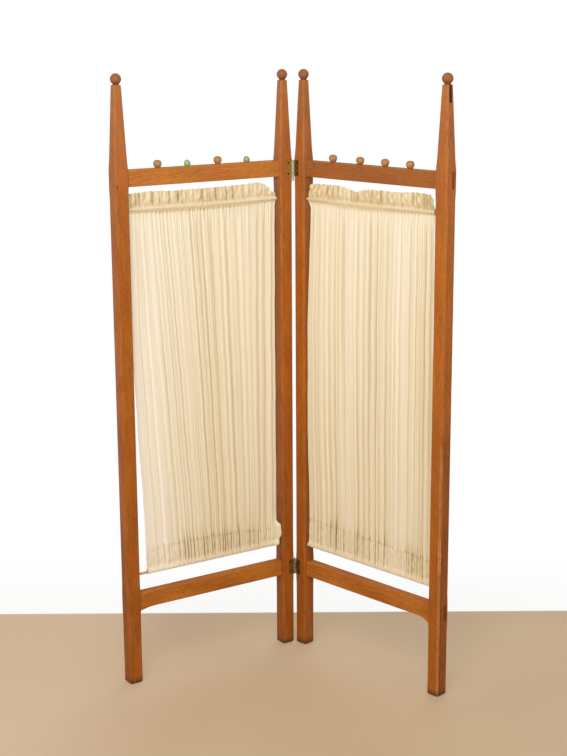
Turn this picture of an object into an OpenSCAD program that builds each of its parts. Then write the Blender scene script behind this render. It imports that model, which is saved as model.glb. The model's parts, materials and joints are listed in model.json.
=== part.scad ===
// Two-panel dressing screen: oak frames with gathered curtains on dowels, joined by two brass hinges.
// Millimetres. The screen stands on z = 0 and opens towards the viewer, who looks along +Y.
// Each panel is drawn flat first, with the hinge pins' axis as its origin: x runs outwards along
// the panel, y runs from the front to the back and z is the height. It is then leaned back.

/* [Panels] */
// Width of one panel over its two posts
panel_w = 457; // [380:1:600]
// Angle by which each panel leans forward of a straight line
lean = 39.5; // [15:0.5:60]
// Gap between the two inner posts when the panels stand in one line
post_gap = 1.4; // [1:0.1:4]

/* [Posts] */
// Height of a post without its finial
post_h = 1370; // [1200:5:1700]
// Width and depth of a post
post_w = 33; // [30:0.5:42]
// Chamfer along the corners of a post
post_chamfer = 4; // [3:0.5:7]
// Chamfer that is left on the corners at the rails
block_ease = 2.5; // [0.5:0.5:3]
// How far the fuller corners run past the edges of their rail
block_margin = 2; // [1:0.5:6]
// Length over which a chamfer grows to its full width away from a rail
chamfer_run = 25; // [8:1:30]
// Width of the spire at its top
spire_top_w = 17.5; // [15:0.5:22]
// Chamfer of the spire as a share of its width
spire_chamfer_share = 0.125; // [0.1:0.005:0.2]
// Bevel around a foot
foot_bevel = 3.5; // [0.5:0.5:4]
// Bevel around the top of a spire
top_bevel = 1; // [0.5:0.25:1.5]

/* [Rails] */
// Height of a rail
rail_h = 36.5; // [30:0.5:50]
// Thickness of a rail
rail_t = 24; // [18:0.5:26]
// Eased edge of a rail
rail_ease = 0.8; // [0.4:0.1:1.5]
// Distance from the top of a post down to the middle of the top rail
top_rail_drop = 199.5; // [150:0.5:300]
// Height of the middle of the bottom rail
bottom_rail_z = 198.7; // [120:0.1:320]
// Length of a tenon
tenon_l = 22; // [14:1:24]
// Thickness of a tenon
tenon_t = 9; // [6:0.5:12]
// Shoulder above and below a tenon
tenon_shoulder = 5; // [3:0.5:8]
// Clearance around a tenon in its mortise
tenon_fit = 0.1; // [0.05:0.05:0.3]
// Glue space at the end of a tenon
tenon_end = 1; // [0.5:0.5:2]
// Length of the flare under the left bottom rail
left_flare_l = 40; // [20:1:80]
// Drop of the flare under the left bottom rail
left_flare_drop = 6; // [2:0.5:14]
// Length of the flare under the right bottom rail
right_flare_l = 32; // [20:1:80]
// Drop of the flare under the right bottom rail
right_flare_drop = 11.5; // [2:0.5:14]

/* [Finials] */
// Diameter of a finial's ball
ball_d = 24.3; // [20:0.1:30]
// Diameter of the neck under the ball
neck_d = 13.8; // [11:0.1:15]
// Gap that the ball would leave above the post without its neck
ball_gap = 0.35; // [0.1:0.05:2]
// Diameter of a finial's stem
stem_d = 8; // [6:0.5:9]
// Length of a finial's stem
stem_l = 15; // [10:1:25]
// Clearance around a stem or peg in its hole
peg_fit = 0.1; // [0.05:0.05:0.2]

/* [Knobs] */
// Spacing of the knobs along a top rail
knob_pitch = 76.5; // [50:0.5:90]
// Largest diameter of a wooden knob
knob_d = 18.8; // [15:0.1:22]
// Height of a wooden knob above the rail
knob_h = 17.6; // [15:0.1:24]
// Height at which a wooden knob is widest
knob_belly_z = 9; // [7:0.1:12]
// Diameter of a wooden knob where it meets the rail
knob_neck_d = 10; // [8:0.1:13]
// Diameter of a green bead knob
bead_d = 14.8; // [12:0.1:18]
// Height of a green bead knob above the rail
bead_h = 14.5; // [12:0.1:18]
// Diameter of a green bead knob where it meets the rail
bead_foot_d = 11; // [8:0.1:11.5]
// Diameter of a knob's peg
peg_d = 6; // [4:0.5:8]
// Length of a knob's peg
peg_l = 12; // [8:1:20]

/* [Rods] */
// Diameter of a curtain rod
rod_d = 6; // [5:0.5:8]
// Depth of a rod's hole in a post
rod_hole_depth = 8; // [5:0.5:10]
// Clearance around a rod in its hole
rod_fit = 0.15; // [0.05:0.05:0.3]
// Free space past each end of a rod
rod_end = 0.5; // [0.2:0.1:1]
// Distance from the middle of the top rail down to the top rod
top_rod_drop = 69; // [55:0.5:120]
// Distance from the middle of the bottom rail up to the bottom rod
bottom_rod_rise = 62.3; // [45:0.1:120]
// How far the right rods lie in front of the middle of their posts
right_rod_forward = 6; // [0:0.5:6]

/* [Curtains] */
// Height of the ruffle above the top rod
ruffle_h = 38; // [20:0.5:45]
// Height of the hem's stitching above the bottom rod
hem_h = 48; // [30:1:70]
// Thickness of the gathered cloth between its casings
cloth_t = 2.4; // [1.6:0.2:3]
// Thickness of the cloth around a rod
casing_wall = 1.2; // [0.8:0.1:1.5]
// Clearance between a rod and its casing
casing_fit = 0.3; // [0.3:0.05:0.5]
// Number of main folds
folds = 11; // [6:1:11]
// Depth of the main folds to either side
fold_depth = 4.5; // [2:0.5:5]
// Gap between the left curtain and its inner post at the top
left_inner_gap = 5.3; // [0.5:0.1:30]
// Gap between the left curtain and its inner post at the hem
left_inner_hem_gap = 8.3; // [0.5:0.1:30]
// Gap between the left curtain and its outer post at the top
left_outer_gap = 0.5; // [0.5:0.1:30]
// Gap between the left curtain and its outer post at the hem
left_outer_hem_gap = 27.7; // [0.5:0.1:40]
// Gap between the right curtain and its inner post at the top
right_inner_gap = 10; // [0.5:0.1:30]
// Gap between the right curtain and its inner post below
right_inner_hem_gap = 0.5; // [0.5:0.1:30]
// Gap between the right curtain and its outer post at the top
right_outer_gap = 6; // [0.5:0.1:30]
// Gap between the right curtain and its outer post at the hem
right_outer_hem_gap = 0.5; // [0.5:0.1:30]

/* [Hinges] */
// Height of a hinge
hinge_h = 37.5; // [30:0.5:44]
// Width of a leaf from the pin's axis to its edge
leaf_w = 16; // [12:0.5:20]
// Thickness of a leaf
leaf_t = 1.2; // [0.8:0.1:1.5]
// Diameter of the barrel
barrel_d = 5.2; // [4.6:0.1:6]
// Diameter of the pin
pin_d = 2.8; // [1.8:0.1:2.8]
// Clearance around the pin in its knuckles
pin_fit = 0.05; // [0.02:0.01:0.1]
// Height of the middle knuckle
middle_knuckle_h = 15; // [8:0.5:20]
// Gap between neighbouring knuckles
knuckle_gap = 0.2; // [0.1:0.05:0.5]
// Clearance between the barrel and what it turns past
barrel_clear = 0.4; // [0.2:0.05:0.8]
// Clearance around a leaf in its recess
leaf_fit = 0.2; // [0.1:0.05:0.4]
// Length of the upper pin that stands out below its hinge
upper_pin_out = 11; // [0:0.5:20]
// Length of the lower pin that stands out above its hinge
lower_pin_out = 3.5; // [0:0.5:20]

/* [Screws] */
// Distance of the screws from the pin's axis
screw_u = 12; // [9:0.5:12]
// Distance between the two screws of a leaf
screw_pitch = 25; // [16:0.5:26]
// Diameter of a screw's head
screw_head_d = 5; // [4.2:0.1:5.4]
// Diameter of a screw's shank
screw_shank_d = 2.6; // [2:0.1:3]
// Length of a screw
screw_l = 10; // [8:0.5:11]
// Width and depth of the slot in a screw's head
screw_slot = 0.6; // [0.3:0.1:0.7]
// Clearance around a screw
screw_fit = 0.1; // [0.05:0.05:0.2]

/* [Marks of use] */
// Length of the slot down the right outer spire
slot_l = 37; // [10:1:80]
// Width of the slot down the right outer spire
slot_w = 8; // [2:0.5:9]
// Depth of the slot at the top of the spire
slot_depth = 3.5; // [1:0.25:3.75]
// How far the slot lies in front of the middle of the post
slot_forward = 1; // [0:0.5:3]
// Height of the old hinge recesses in the right outer post
old_recess_h = 36.5; // [20:0.5:40]
// Width of the old hinge recesses
old_recess_w = 8; // [3:0.5:9]
// Depth of the old hinge recesses
old_recess_depth = 1.5; // [0.5:0.25:3]
// How far the old hinge recesses lie behind the middle of the post
old_recess_back = 5; // [0:0.5:8]
// Diameter of the nail hole in the front of an outer post
nail_d = 2.5; // [1.5:0.1:3]
// Depth of the nail hole
nail_depth = 4; // [2:0.5:8]
// Distance of the nail hole from the middle of the post
nail_u = 12; // [5:0.5:12.5]
// Distance of the nail hole below the middle of the top rail
nail_drop = 14; // [5:0.5:16]
// Length by which the nail hole of the left post is drawn out
nail_tear = 5; // [1:0.5:8]

/* [Hidden] */
$fn = 48;

OAK = [0.66, 0.38, 0.17];
RAIL_OAK = [0.71, 0.42, 0.19];
PALE_WOOD = [0.66, 0.46, 0.28];
CREAM = [0.88, 0.84, 0.72];
BRASS = [0.78, 0.62, 0.28];
OLD_BRASS = [0.52, 0.45, 0.25];
STEEL = [0.55, 0.55, 0.56];
BEAD_GREEN = [0.50, 0.72, 0.55];

// A leaf rolls round its pin, so the post's front lies this far behind the pin's axis.
front_y = barrel_d / 2 - leaf_t;
mid_y = front_y + post_w / 2;
back_y = front_y + post_w;
inner_face = post_gap / 2;
inner_x = inner_face + post_w / 2;
outer_x = inner_face + panel_w - post_w / 2;
outer_face = inner_face + panel_w;
// The opening between the posts of a panel
open_from = inner_face + post_w;
open_to = outer_face - post_w;
open_mid = (open_from + open_to) / 2;

top_rail_z = post_h - top_rail_drop;
top_rod_z = top_rail_z - top_rod_drop;
bottom_rod_z = bottom_rail_z + bottom_rod_rise;
spire_z = top_rail_z + rail_h / 2 + block_margin / 2;

// Moves the pins' axis so that the leaned screen is centred over the origin.
lean_back_y = back_y * cos(lean) - (inner_face + block_ease) * sin(lean);
lean_front_y = front_y * cos(lean) - (outer_face - block_ease) * sin(lean);
pin_axis_y = -(lean_back_y + lean_front_y) / 2;

// Small shifts of the hand-set knobs from their even spacing, from the hinge outwards
left_knob_shift = [0.5, 0.5, 2.5, 1];
right_knob_shift = [-3.5, 3.5, 1.5, -2.5];

// The ruffle's dips as [share of the width from the hinge outwards, drop]
left_ruffle = [[0, 22], [0.1, 2], [0.3, 2], [0.6, 3], [0.9, 0], [1, 1]];
right_ruffle = [[0, 5], [0.2, 0], [0.3, 3], [0.4, 12], [0.5, 2], [0.9, 0], [0.97, 1], [1, 12]];

module on_right() translate([0, pin_axis_y, 0]) rotate([0, 0, -lean]) children();
module on_left() translate([0, pin_axis_y, 0]) mirror([1, 0, 0]) rotate([0, 0, -lean]) children();

// Skins a stack of rings that all have the same even number of points, listed clockwise seen from
// ahead. The caps are closed in strips, each between a point and its partner across the ring.
module loft(rings) {
    count = len(rings[0]);
    last = len(rings) - 1;
    walls = [
        for (r = [0:last - 1], k = [0:count - 1])
            let (a = r * count + k, b = r * count + (k + 1) % count)
                each [[a, b, a + count], [b, b + count, a + count]]
    ];
    caps = [
        for (k = [0:count / 2 - 2])
            let (far = count - 1 - k, up = last * count)
                each [[k, far, k + 1], [k + 1, far, far - 1],
                    [up + k, up + k + 1, up + far], [up + k + 1, up + far - 1, up + far]]
    ];
    polyhedron([for (ring = rings) each ring], concat(walls, caps), convexity = 4);
}

// Corners of a chamfered rectangle, as [across, along]
function chamfered(x0, x1, y0, y1, c) = [
    [x0 + c, y0], [x0, y0 + c], [x0, y1 - c], [x0 + c, y1],
    [x1 - c, y1], [x1, y1 - c], [x1, y0 + c], [x1 - c, y0]
];

// Insetting a chamfered outline by an amount shortens its chamfer by this share of it.
inset_share = 2 - sqrt(2);

function post_ring(z, w, c) = [for (p = chamfered(-w / 2, w / 2, -w / 2, w / 2, c)) [p[0], p[1], z]];
function spire_w(z) = post_w + (spire_top_w - post_w) * (z - spire_z) / (post_h - spire_z);
function spire_ring(z, inset = 0) =
    let (w = spire_w(z), c = w * spire_chamfer_share)
        post_ring(z, w - 2 * inset, c - inset * inset_share);

// Post body, standing on its own axis
module post_body() {
    low_from = bottom_rail_z - rail_h / 2 - block_margin;
    low_to = bottom_rail_z + rail_h / 2 + block_margin;
    high_from = top_rail_z - rail_h / 2 - block_margin;
    loft([
        post_ring(0, post_w - 2 * foot_bevel, post_chamfer - foot_bevel * inset_share),
        post_ring(foot_bevel, post_w, post_chamfer),
        post_ring(low_from - chamfer_run, post_w, post_chamfer),
        post_ring(low_from, post_w, block_ease),
        post_ring(low_to, post_w, block_ease),
        post_ring(low_to + chamfer_run, post_w, post_chamfer),
        post_ring(high_from - chamfer_run, post_w, post_chamfer),
        post_ring(high_from, post_w, block_ease),
        post_ring(spire_z, post_w, block_ease),
        spire_ring(spire_z + chamfer_run),
        spire_ring(post_h - top_bevel),
        spire_ring(post_h, top_bevel)
    ]);
}

// Mortises, rod holes and stem bore of a post. The opening is on the side that inward points to.
module post_holes(inward, rod_y) {
    mortise_l = tenon_l + tenon_end;
    mortise_t = tenon_t + 2 * tenon_fit;
    mortise_h = rail_h - 2 * tenon_shoulder + 2 * tenon_fit;
    face = post_w / 2;
    mirror([inward < 0 ? 1 : 0, 0, 0]) {
        for (z = [bottom_rail_z, top_rail_z])
            translate([face - mortise_l, -mortise_t / 2, z - mortise_h / 2])
                cube([mortise_l + 1, mortise_t, mortise_h]);
        for (z = [bottom_rod_z, top_rod_z])
            translate([face - rod_hole_depth, rod_y, z])
                rotate([0, 90, 0])
                    cylinder(h = rod_hole_depth + 1, d = rod_d + 2 * rod_fit);
    }
    translate([0, 0, post_h - stem_l - tenon_end])
        cylinder(h = stem_l + tenon_end + 1, d = stem_d + 2 * peg_fit);
}

// Recess for one hinge leaf and its barrel, in the panel's own frame
module hinge_recess(z) {
    h = hinge_h + 2 * leaf_fit;
    translate([-1, front_y - 1, z - h / 2]) cube([leaf_w + leaf_fit + 1, leaf_t + 1, h]);
    translate([0, 0, z - h / 2]) cylinder(h = h, d = barrel_d + 2 * barrel_clear);
    for (dz = [-screw_pitch / 2, screw_pitch / 2])
        translate([screw_u, front_y, z + dz])
            rotate([-90, 0, 0])
                cylinder(h = screw_l + 1, d = screw_shank_d + 2 * screw_fit);
}

module inner_post(rod_y) {
    color(OAK) difference() {
        translate([inner_x, mid_y, 0]) difference() {
            post_body();
            post_holes(1, rod_y);
        }
        for (z = [bottom_rail_z, top_rail_z]) hinge_recess(z);
        // Way down and up for the free ends of the two pins
        translate([0, 0, top_rail_z - hinge_h / 2 - upper_pin_out - barrel_clear])
            cylinder(h = upper_pin_out + 1, d = pin_d + 2 * barrel_clear);
        translate([0, 0, bottom_rail_z + hinge_h / 2 - 1])
            cylinder(h = lower_pin_out + barrel_clear + 1, d = pin_d + 2 * barrel_clear);
    }
}

module outer_post(rod_y, marks) {
    color(OAK) translate([outer_x, mid_y, 0]) difference() {
        post_body();
        post_holes(-1, rod_y);
        if (marks == "left") left_post_marks();
        if (marks == "right") right_post_marks();
    }
}

// Nail hole, drawn out downwards by tear
module nail_hole(tear) {
    translate([nail_u, -post_w / 2 - 1, top_rail_z - nail_drop]) {
        rotate([-90, 0, 0]) cylinder(h = nail_depth + 1, d = nail_d, $fn = 24);
        if (tear > 0) {
            translate([-nail_d / 2, 0, -tear]) cube([nail_d, nail_depth + 1, tear]);
            translate([0, 0, -tear]) rotate([-90, 0, 0]) cylinder(h = nail_depth + 1, d = nail_d, $fn = 24);
        }
    }
}

module left_post_marks() nail_hole(nail_tear);

module right_post_marks() {
    nail_hole(0);
    translate([spire_top_w / 2 - slot_depth, -slot_forward - slot_w / 2, post_h - slot_l])
        cube([post_w, slot_w, slot_l + 1]);
    for (z = [bottom_rail_z, top_rail_z])
        translate([post_w / 2 - old_recess_depth, old_recess_back - old_recess_w / 2, z - old_recess_h / 2])
            cube([old_recess_depth + 1, old_recess_w, old_recess_h]);
}

// One cross-section of a rail, whose underside lies lower by drop
function rail_ring(x, z, drop) = [
    for (p = chamfered(mid_y - rail_t / 2, mid_y + rail_t / 2, -rail_h / 2 - drop, rail_h / 2, rail_ease))
        [x, p[0], z + p[1]]
];

// Cross-sections along an arc that leaves the underside at a tangent and drops to the outer post
flare_steps = 8;
function flare(z, length, drop) =
    let (radius = (length * length + drop * drop) / (2 * drop), bend = asin(length / radius))
        [
            for (k = [0:flare_steps])
                let (a = bend * k / flare_steps)
                    rail_ring(open_to - length + radius * sin(a), z, radius * (1 - cos(a)))
        ];

// Rail with a tenon at each end
module rail_bar(z, outer_end) {
    tenon_h = rail_h - 2 * tenon_shoulder;
    loft(concat([rail_ring(open_from, z, 0)], outer_end));
    translate([open_from - tenon_l, mid_y - tenon_t / 2, z - tenon_h / 2])
        cube([open_to - open_from + 2 * tenon_l, tenon_t, tenon_h]);
}

module bottom_rail(flare_l, flare_drop)
    color(RAIL_OAK) rail_bar(bottom_rail_z, flare(bottom_rail_z, flare_l, flare_drop));

// Distance of knob i from the pins' axis, counted from the hinge outwards
function knob_x(i, shift) = open_mid + (i - 1.5) * knob_pitch + shift[i];

module top_rail(shift) {
    color(RAIL_OAK) difference() {
        rail_bar(top_rail_z, [rail_ring(open_to, top_rail_z, 0)]);
        for (i = [0:3])
            translate([knob_x(i, shift), mid_y, top_rail_z + rail_h / 2 - peg_l - tenon_end])
                cylinder(h = peg_l + tenon_end + 1, d = peg_d + 2 * peg_fit);
    }
}

module turned(outline) rotate_extrude() polygon(outline);

// Ball on a short neck, with a stem in the top of the post
module finial(x) {
    r = ball_d / 2;
    centre = r + ball_gap;
    start = acos(neck_d / ball_d);
    ball = [for (k = [0:16]) let (a = -start + (90 + start) * k / 16) [r * cos(a), centre + r * sin(a)]];
    color(PALE_WOOD) translate([x, mid_y, post_h])
        turned(concat([[0, -stem_l], [stem_d / 2, -stem_l], [stem_d / 2, 0], [neck_d / 2, 0]], ball));
}

// Exponent that squares a turned knob's round top a little
knob_squareness = 2.4;

module wooden_knob(x) {
    neck = knob_neck_d / 2;
    belly = knob_d / 2;
    foot = [for (k = [0:6]) [neck + (belly - neck) * sin(90 * k / 7), knob_belly_z * k / 7]];
    top = [
        for (k = [0:10])
            let (a = 9 * k)
                [belly * pow(cos(a), 2 / knob_squareness),
                    knob_belly_z + (knob_h - knob_belly_z) * pow(sin(a), 2 / knob_squareness)]
    ];
    color(PALE_WOOD) translate([x, mid_y, top_rail_z + rail_h / 2])
        turned(concat([[0, -peg_l], [peg_d / 2, -peg_l], [peg_d / 2, 0]], foot, top));
}

// Egg-shaped bead, cut flat where it sits on the rail
module bead_knob(x) {
    start = acos(bead_foot_d / bead_d);
    rise = bead_h / (1 + sin(start));
    egg = [
        for (k = [0:14])
            let (a = -start + (90 + start) * k / 14)
                [bead_d / 2 * cos(a), rise * (sin(a) + sin(start))]
    ];
    color(BEAD_GREEN) translate([x, mid_y, top_rail_z + rail_h / 2])
        turned(concat([[0, -peg_l], [peg_d / 2, -peg_l], [peg_d / 2, 0]], egg));
}

module rod(z, rod_y) {
    past = rod_hole_depth - rod_end;
    color(PALE_WOOD) translate([open_from - past, mid_y + rod_y, z])
        rotate([0, 90, 0])
            cylinder(h = open_to - open_from + 2 * past, d = rod_d);
}

// Outside of the cloth around a rod
casing_r = rod_d / 2 + casing_fit;
casing_edge = casing_r + casing_wall;
// The casings bulge a little more to the front and back, where their small folds eat into the wall.
casing_bulge = 0.4;
casing_half = casing_edge + casing_bulge;
casing_fold = 0.3;
// Where a casing's round side ends, and where the cloth lies flat again, in radii of its bore
casing_flank = 0.8;
casing_root = 2.4;
// Heights of the loose cloth's levels, as shares of the distance between the rods
drape_shares = [0.18, 0.55, 0.88];

// Levels of a curtain from hem to ruffle: [height, half thickness, depth of the folds there]
function curtain_levels() =
    let (half = cloth_t / 2, flank = casing_r * casing_flank, root = casing_r * casing_root,
        drape = top_rod_z - bottom_rod_z)
        [
            [bottom_rod_z - casing_edge, casing_half / 2, casing_fold],
            [bottom_rod_z - flank, casing_half, casing_fold],
            [bottom_rod_z + flank, casing_half, casing_fold],
            [bottom_rod_z + root, half, casing_fold * 3],
            [bottom_rod_z + hem_h, half, fold_depth / 2],
            for (share = drape_shares) [bottom_rod_z + drape * share, half, fold_depth],
            [top_rod_z - root, half, casing_fold * 3],
            [top_rod_z - flank, casing_half, casing_fold],
            [top_rod_z + flank, casing_half, casing_fold],
            [top_rod_z + root, half, casing_fold * 3],
            [top_rod_z + ruffle_h, half, fold_depth * 2 / 3]
        ];

// Sideways push of the cloth at column k: four columns make one fold, no two folds quite alike
function fold_push(k, seed) = sin(90 * k + 25 * sin(47 * k + seed)) * (0.78 + 0.22 * sin(31 * k + 2 * seed));

// The side edges of a curtain change course at this share of the height between its rods.
draw_in_share = 0.7;

// Gathered curtain on its two rods. Gaps are [inner, outer] as [at the hem, at the top].
module curtain(rod_y, inner_gaps, outer_gaps, ruffle, seed) {
    levels = curtain_levels();
    columns = 4 * folds;
    top = len(levels) - 1;
    draw_in_z = bottom_rod_z + draw_in_share * (top_rod_z - bottom_rod_z);
    inner_edge = [
        [bottom_rod_z, open_from + inner_gaps[0]],
        [draw_in_z, open_from + inner_gaps[0]],
        [top_rod_z, open_from + inner_gaps[1]]
    ];
    outer_edge = [
        [bottom_rod_z, open_to - outer_gaps[0]],
        [draw_in_z, open_to - outer_gaps[1]],
        [top_rod_z, open_to - outer_gaps[1]]
    ];
    rings = [
        for (j = [0:top])
            let (z = levels[j][0], half = levels[j][1], depth = levels[j][2],
                from = lookup(z, inner_edge), to = lookup(z, outer_edge))
                [
                    for (k = [0:2 * columns + 1])
                        let (front = k <= columns, c = front ? k : 2 * columns + 1 - k, share = c / columns,
                            dip = j == top ? lookup(share, ruffle) : 0)
                            [
                                from + (to - from) * share,
                                mid_y + rod_y + depth * fold_push(c, seed) + (front ? -half : half),
                                z - dip
                            ]
                ]
    ];
    color(CREAM) difference() {
        loft([for (ring = rings) [for (k = [len(ring) - 1:-1:0]) ring[k]]]);
        for (z = [bottom_rod_z, top_rod_z])
            translate([open_from, mid_y + rod_y, z])
                rotate([0, 90, 0])
                    cylinder(h = open_to - open_from, r = casing_r);
    }
}

// Height of a hinge's lowest point
function hinge_foot(z) = z - hinge_h / 2;

// Knuckles as [from, to] above the hinge's lowest point
end_knuckle_h = (hinge_h - middle_knuckle_h) / 2;
end_knuckles = [
    [0, end_knuckle_h - knuckle_gap / 2],
    [hinge_h - end_knuckle_h + knuckle_gap / 2, hinge_h]
];
middle_knuckles = [[end_knuckle_h + knuckle_gap / 2, hinge_h - end_knuckle_h - knuckle_gap / 2]];

// Leaf plate, let into the post, with its knuckles rolled round the pin
module leaf(z, knuckles, finish) {
    strip = barrel_d / 2 + barrel_clear;
    countersink = (screw_head_d - screw_shank_d) / 2;
    color(finish) translate([0, 0, hinge_foot(z)]) difference() {
        union() {
            difference() {
                translate([0, front_y, 0]) cube([leaf_w, leaf_t, hinge_h]);
                translate([0, 0, -1]) cylinder(h = hinge_h + 2, r = strip);
            }
            for (part = knuckles) {
                translate([0, 0, part[0]]) cylinder(h = part[1] - part[0], d = barrel_d);
                translate([0, front_y, part[0]]) cube([strip + 1, leaf_t, part[1] - part[0]]);
            }
        }
        translate([0, 0, -1]) cylinder(h = hinge_h + 2, d = pin_d + 2 * pin_fit);
        for (dz = [-screw_pitch / 2, screw_pitch / 2])
            translate([screw_u, front_y, hinge_h / 2 + dz])
                rotate([-90, 0, 0]) {
                    translate([0, 0, -1]) cylinder(h = leaf_t + 2, d = screw_shank_d + 2 * screw_fit);
                    translate([0, 0, -screw_fit])
                        cylinder(h = countersink, d1 = screw_head_d + 2 * screw_fit,
                            d2 = screw_shank_d + 2 * screw_fit);
                }
    }
}

// Pin through the knuckles, standing out below or above them
module hinge_pin(z, below, above) {
    tip = pin_d / 6;
    h = hinge_h + below + above;
    color(STEEL) translate([0, 0, hinge_foot(z) - below])
        turned([
            [0, 0], [pin_d / 2 - tip, 0], [pin_d / 2, tip],
            [pin_d / 2, h - tip], [pin_d / 2 - tip, h], [0, h]
        ]);
}

// The two countersunk screws of one leaf
module leaf_screws(z, finish) {
    head_h = (screw_head_d - screw_shank_d) / 2;
    color(finish)
        for (dz = [-screw_pitch / 2, screw_pitch / 2])
            translate([screw_u, front_y, z + dz])
                rotate([-90, 0, 0]) difference() {
                    turned([
                        [0, 0], [screw_head_d / 2, 0], [screw_shank_d / 2, head_h],
                        [screw_shank_d / 2, screw_l - screw_shank_d], [0, screw_l]
                    ]);
                    rotate([0, 0, dz])
                        translate([-screw_head_d, -screw_slot / 2, -1])
                            cube([2 * screw_head_d, screw_slot, 1 + screw_slot]);
                }
}

module left_outer_post() on_left() outer_post(0, "left");
module left_inner_post() on_left() inner_post(0);
module left_top_rail() on_left() top_rail(left_knob_shift);
module left_bottom_rail() on_left() bottom_rail(left_flare_l, left_flare_drop);
module left_outer_finial() on_left() finial(outer_x);
module left_inner_finial() on_left() finial(inner_x);
module left_knob_1() on_left() bead_knob(knob_x(0, left_knob_shift));
module left_knob_2() on_left() wooden_knob(knob_x(1, left_knob_shift));
module left_knob_3() on_left() bead_knob(knob_x(2, left_knob_shift));
module left_knob_4() on_left() wooden_knob(knob_x(3, left_knob_shift));
module left_top_rod() on_left() rod(top_rod_z, 0);
module left_bottom_rod() on_left() rod(bottom_rod_z, 0);
module left_curtain()
    on_left()
        curtain(0, [left_inner_hem_gap, left_inner_gap], [left_outer_hem_gap, left_outer_gap], left_ruffle, 10);

module right_outer_post() on_right() outer_post(-right_rod_forward, "right");
module right_inner_post() on_right() inner_post(-right_rod_forward);
module right_top_rail() on_right() top_rail(right_knob_shift);
module right_bottom_rail() on_right() bottom_rail(right_flare_l, right_flare_drop);
module right_outer_finial() on_right() finial(outer_x);
module right_inner_finial() on_right() finial(inner_x);
module right_knob(i) on_right() wooden_knob(knob_x(i, right_knob_shift));
module right_top_rod() on_right() rod(top_rod_z, -right_rod_forward);
module right_bottom_rod() on_right() rod(bottom_rod_z, -right_rod_forward);
module right_curtain()
    on_right()
        curtain(-right_rod_forward, [right_inner_hem_gap, right_inner_gap],
            [right_outer_hem_gap, right_outer_gap], right_ruffle, 70);

module left_leaf(z) on_left() leaf(z, end_knuckles, BRASS);
module right_leaf(z) on_right() leaf(z, middle_knuckles, OLD_BRASS);
module left_screws(z) on_left() leaf_screws(z, BRASS);
module right_screws(z) on_right() leaf_screws(z, OLD_BRASS);
module upper_hinge_pin() on_left() hinge_pin(top_rail_z, upper_pin_out, 0);
module lower_hinge_pin() on_left() hinge_pin(bottom_rail_z, 0, lower_pin_out);

left_outer_post();
left_inner_post();
left_top_rail();
left_bottom_rail();
left_outer_finial();
left_inner_finial();
left_knob_1();
left_knob_2();
left_knob_3();
left_knob_4();
left_top_rod();
left_bottom_rod();
left_curtain();
right_outer_post();
right_inner_post();
right_top_rail();
right_bottom_rail();
right_outer_finial();
right_inner_finial();
right_knob(0);  // right_knob_1
right_knob(1);  // right_knob_2
right_knob(2);  // right_knob_3
right_knob(3);  // right_knob_4
right_top_rod();
right_bottom_rod();
right_curtain();
left_leaf(top_rail_z);  // upper_hinge_left_leaf
right_leaf(top_rail_z);  // upper_hinge_right_leaf
upper_hinge_pin();
left_screws(top_rail_z);  // upper_hinge_left_screws
right_screws(top_rail_z);  // upper_hinge_right_screws
left_leaf(bottom_rail_z);  // lower_hinge_left_leaf
right_leaf(bottom_rail_z);  // lower_hinge_right_leaf
lower_hinge_pin();
left_screws(bottom_rail_z);  // lower_hinge_left_screws
right_screws(bottom_rail_z);  // lower_hinge_right_screws
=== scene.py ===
"""Looks of a two-panel dressing screen: oak frames, gathered curtains, brass hinges and a plain studio."""

import json
import math

import bpy
import numpy as np
from bpy.props import FloatProperty, FloatVectorProperty, IntProperty, PointerProperty
from mathutils import Matrix, Vector


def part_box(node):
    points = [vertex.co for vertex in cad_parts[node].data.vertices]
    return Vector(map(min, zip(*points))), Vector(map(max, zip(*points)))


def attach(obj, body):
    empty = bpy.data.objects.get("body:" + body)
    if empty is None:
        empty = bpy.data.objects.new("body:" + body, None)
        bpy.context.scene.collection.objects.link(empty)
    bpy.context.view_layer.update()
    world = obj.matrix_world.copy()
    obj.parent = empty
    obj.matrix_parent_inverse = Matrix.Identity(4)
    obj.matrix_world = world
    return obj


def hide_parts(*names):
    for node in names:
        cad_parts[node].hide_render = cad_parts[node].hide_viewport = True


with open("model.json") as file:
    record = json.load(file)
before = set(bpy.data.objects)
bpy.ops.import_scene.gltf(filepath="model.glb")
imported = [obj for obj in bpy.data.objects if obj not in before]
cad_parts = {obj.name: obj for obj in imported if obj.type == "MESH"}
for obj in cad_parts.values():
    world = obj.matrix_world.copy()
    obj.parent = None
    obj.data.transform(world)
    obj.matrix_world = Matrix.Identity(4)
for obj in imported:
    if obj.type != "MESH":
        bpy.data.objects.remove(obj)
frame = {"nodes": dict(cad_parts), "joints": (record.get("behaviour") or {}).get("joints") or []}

bl_info = {
    "name": "Dressing Screen",
    "version": (1, 0, 0),
    "blender": (4, 5, 0),
    "location": "View3D > Sidebar > Screen",
    "description": "Finishes, curtains and studio for a folding dressing screen",
    "category": "Object",
}

MM = 0.001
SIDES = {"left": -1, "right": 1}

# Each panel stands turned from the row by this angle, and both turn about the line of the hinge pins.
LEAN = math.radians(39.5)
PIN_Y = frame["joints"][0]["pos_m"][1]

# Distances inside a panel, in millimetres: u runs from the pin along the panel, v back from its front.
MID_V = 17.9
INNER_POST_U = 17.2
OUTER_POST_U = 441.2
RAIL_MIDDLE_U = 229.2
TOP_RAIL_Z = 1170.5
BOTTOM_RAIL_Z = 198.7
TOP_ROD_Z = 1101.5
BOTTOM_ROD_Z = 261.0
ROD_R = 3.0
FINIAL_Z = 1384.0
FINIAL_R = 12.3
KNOB_R = 9.4


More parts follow.
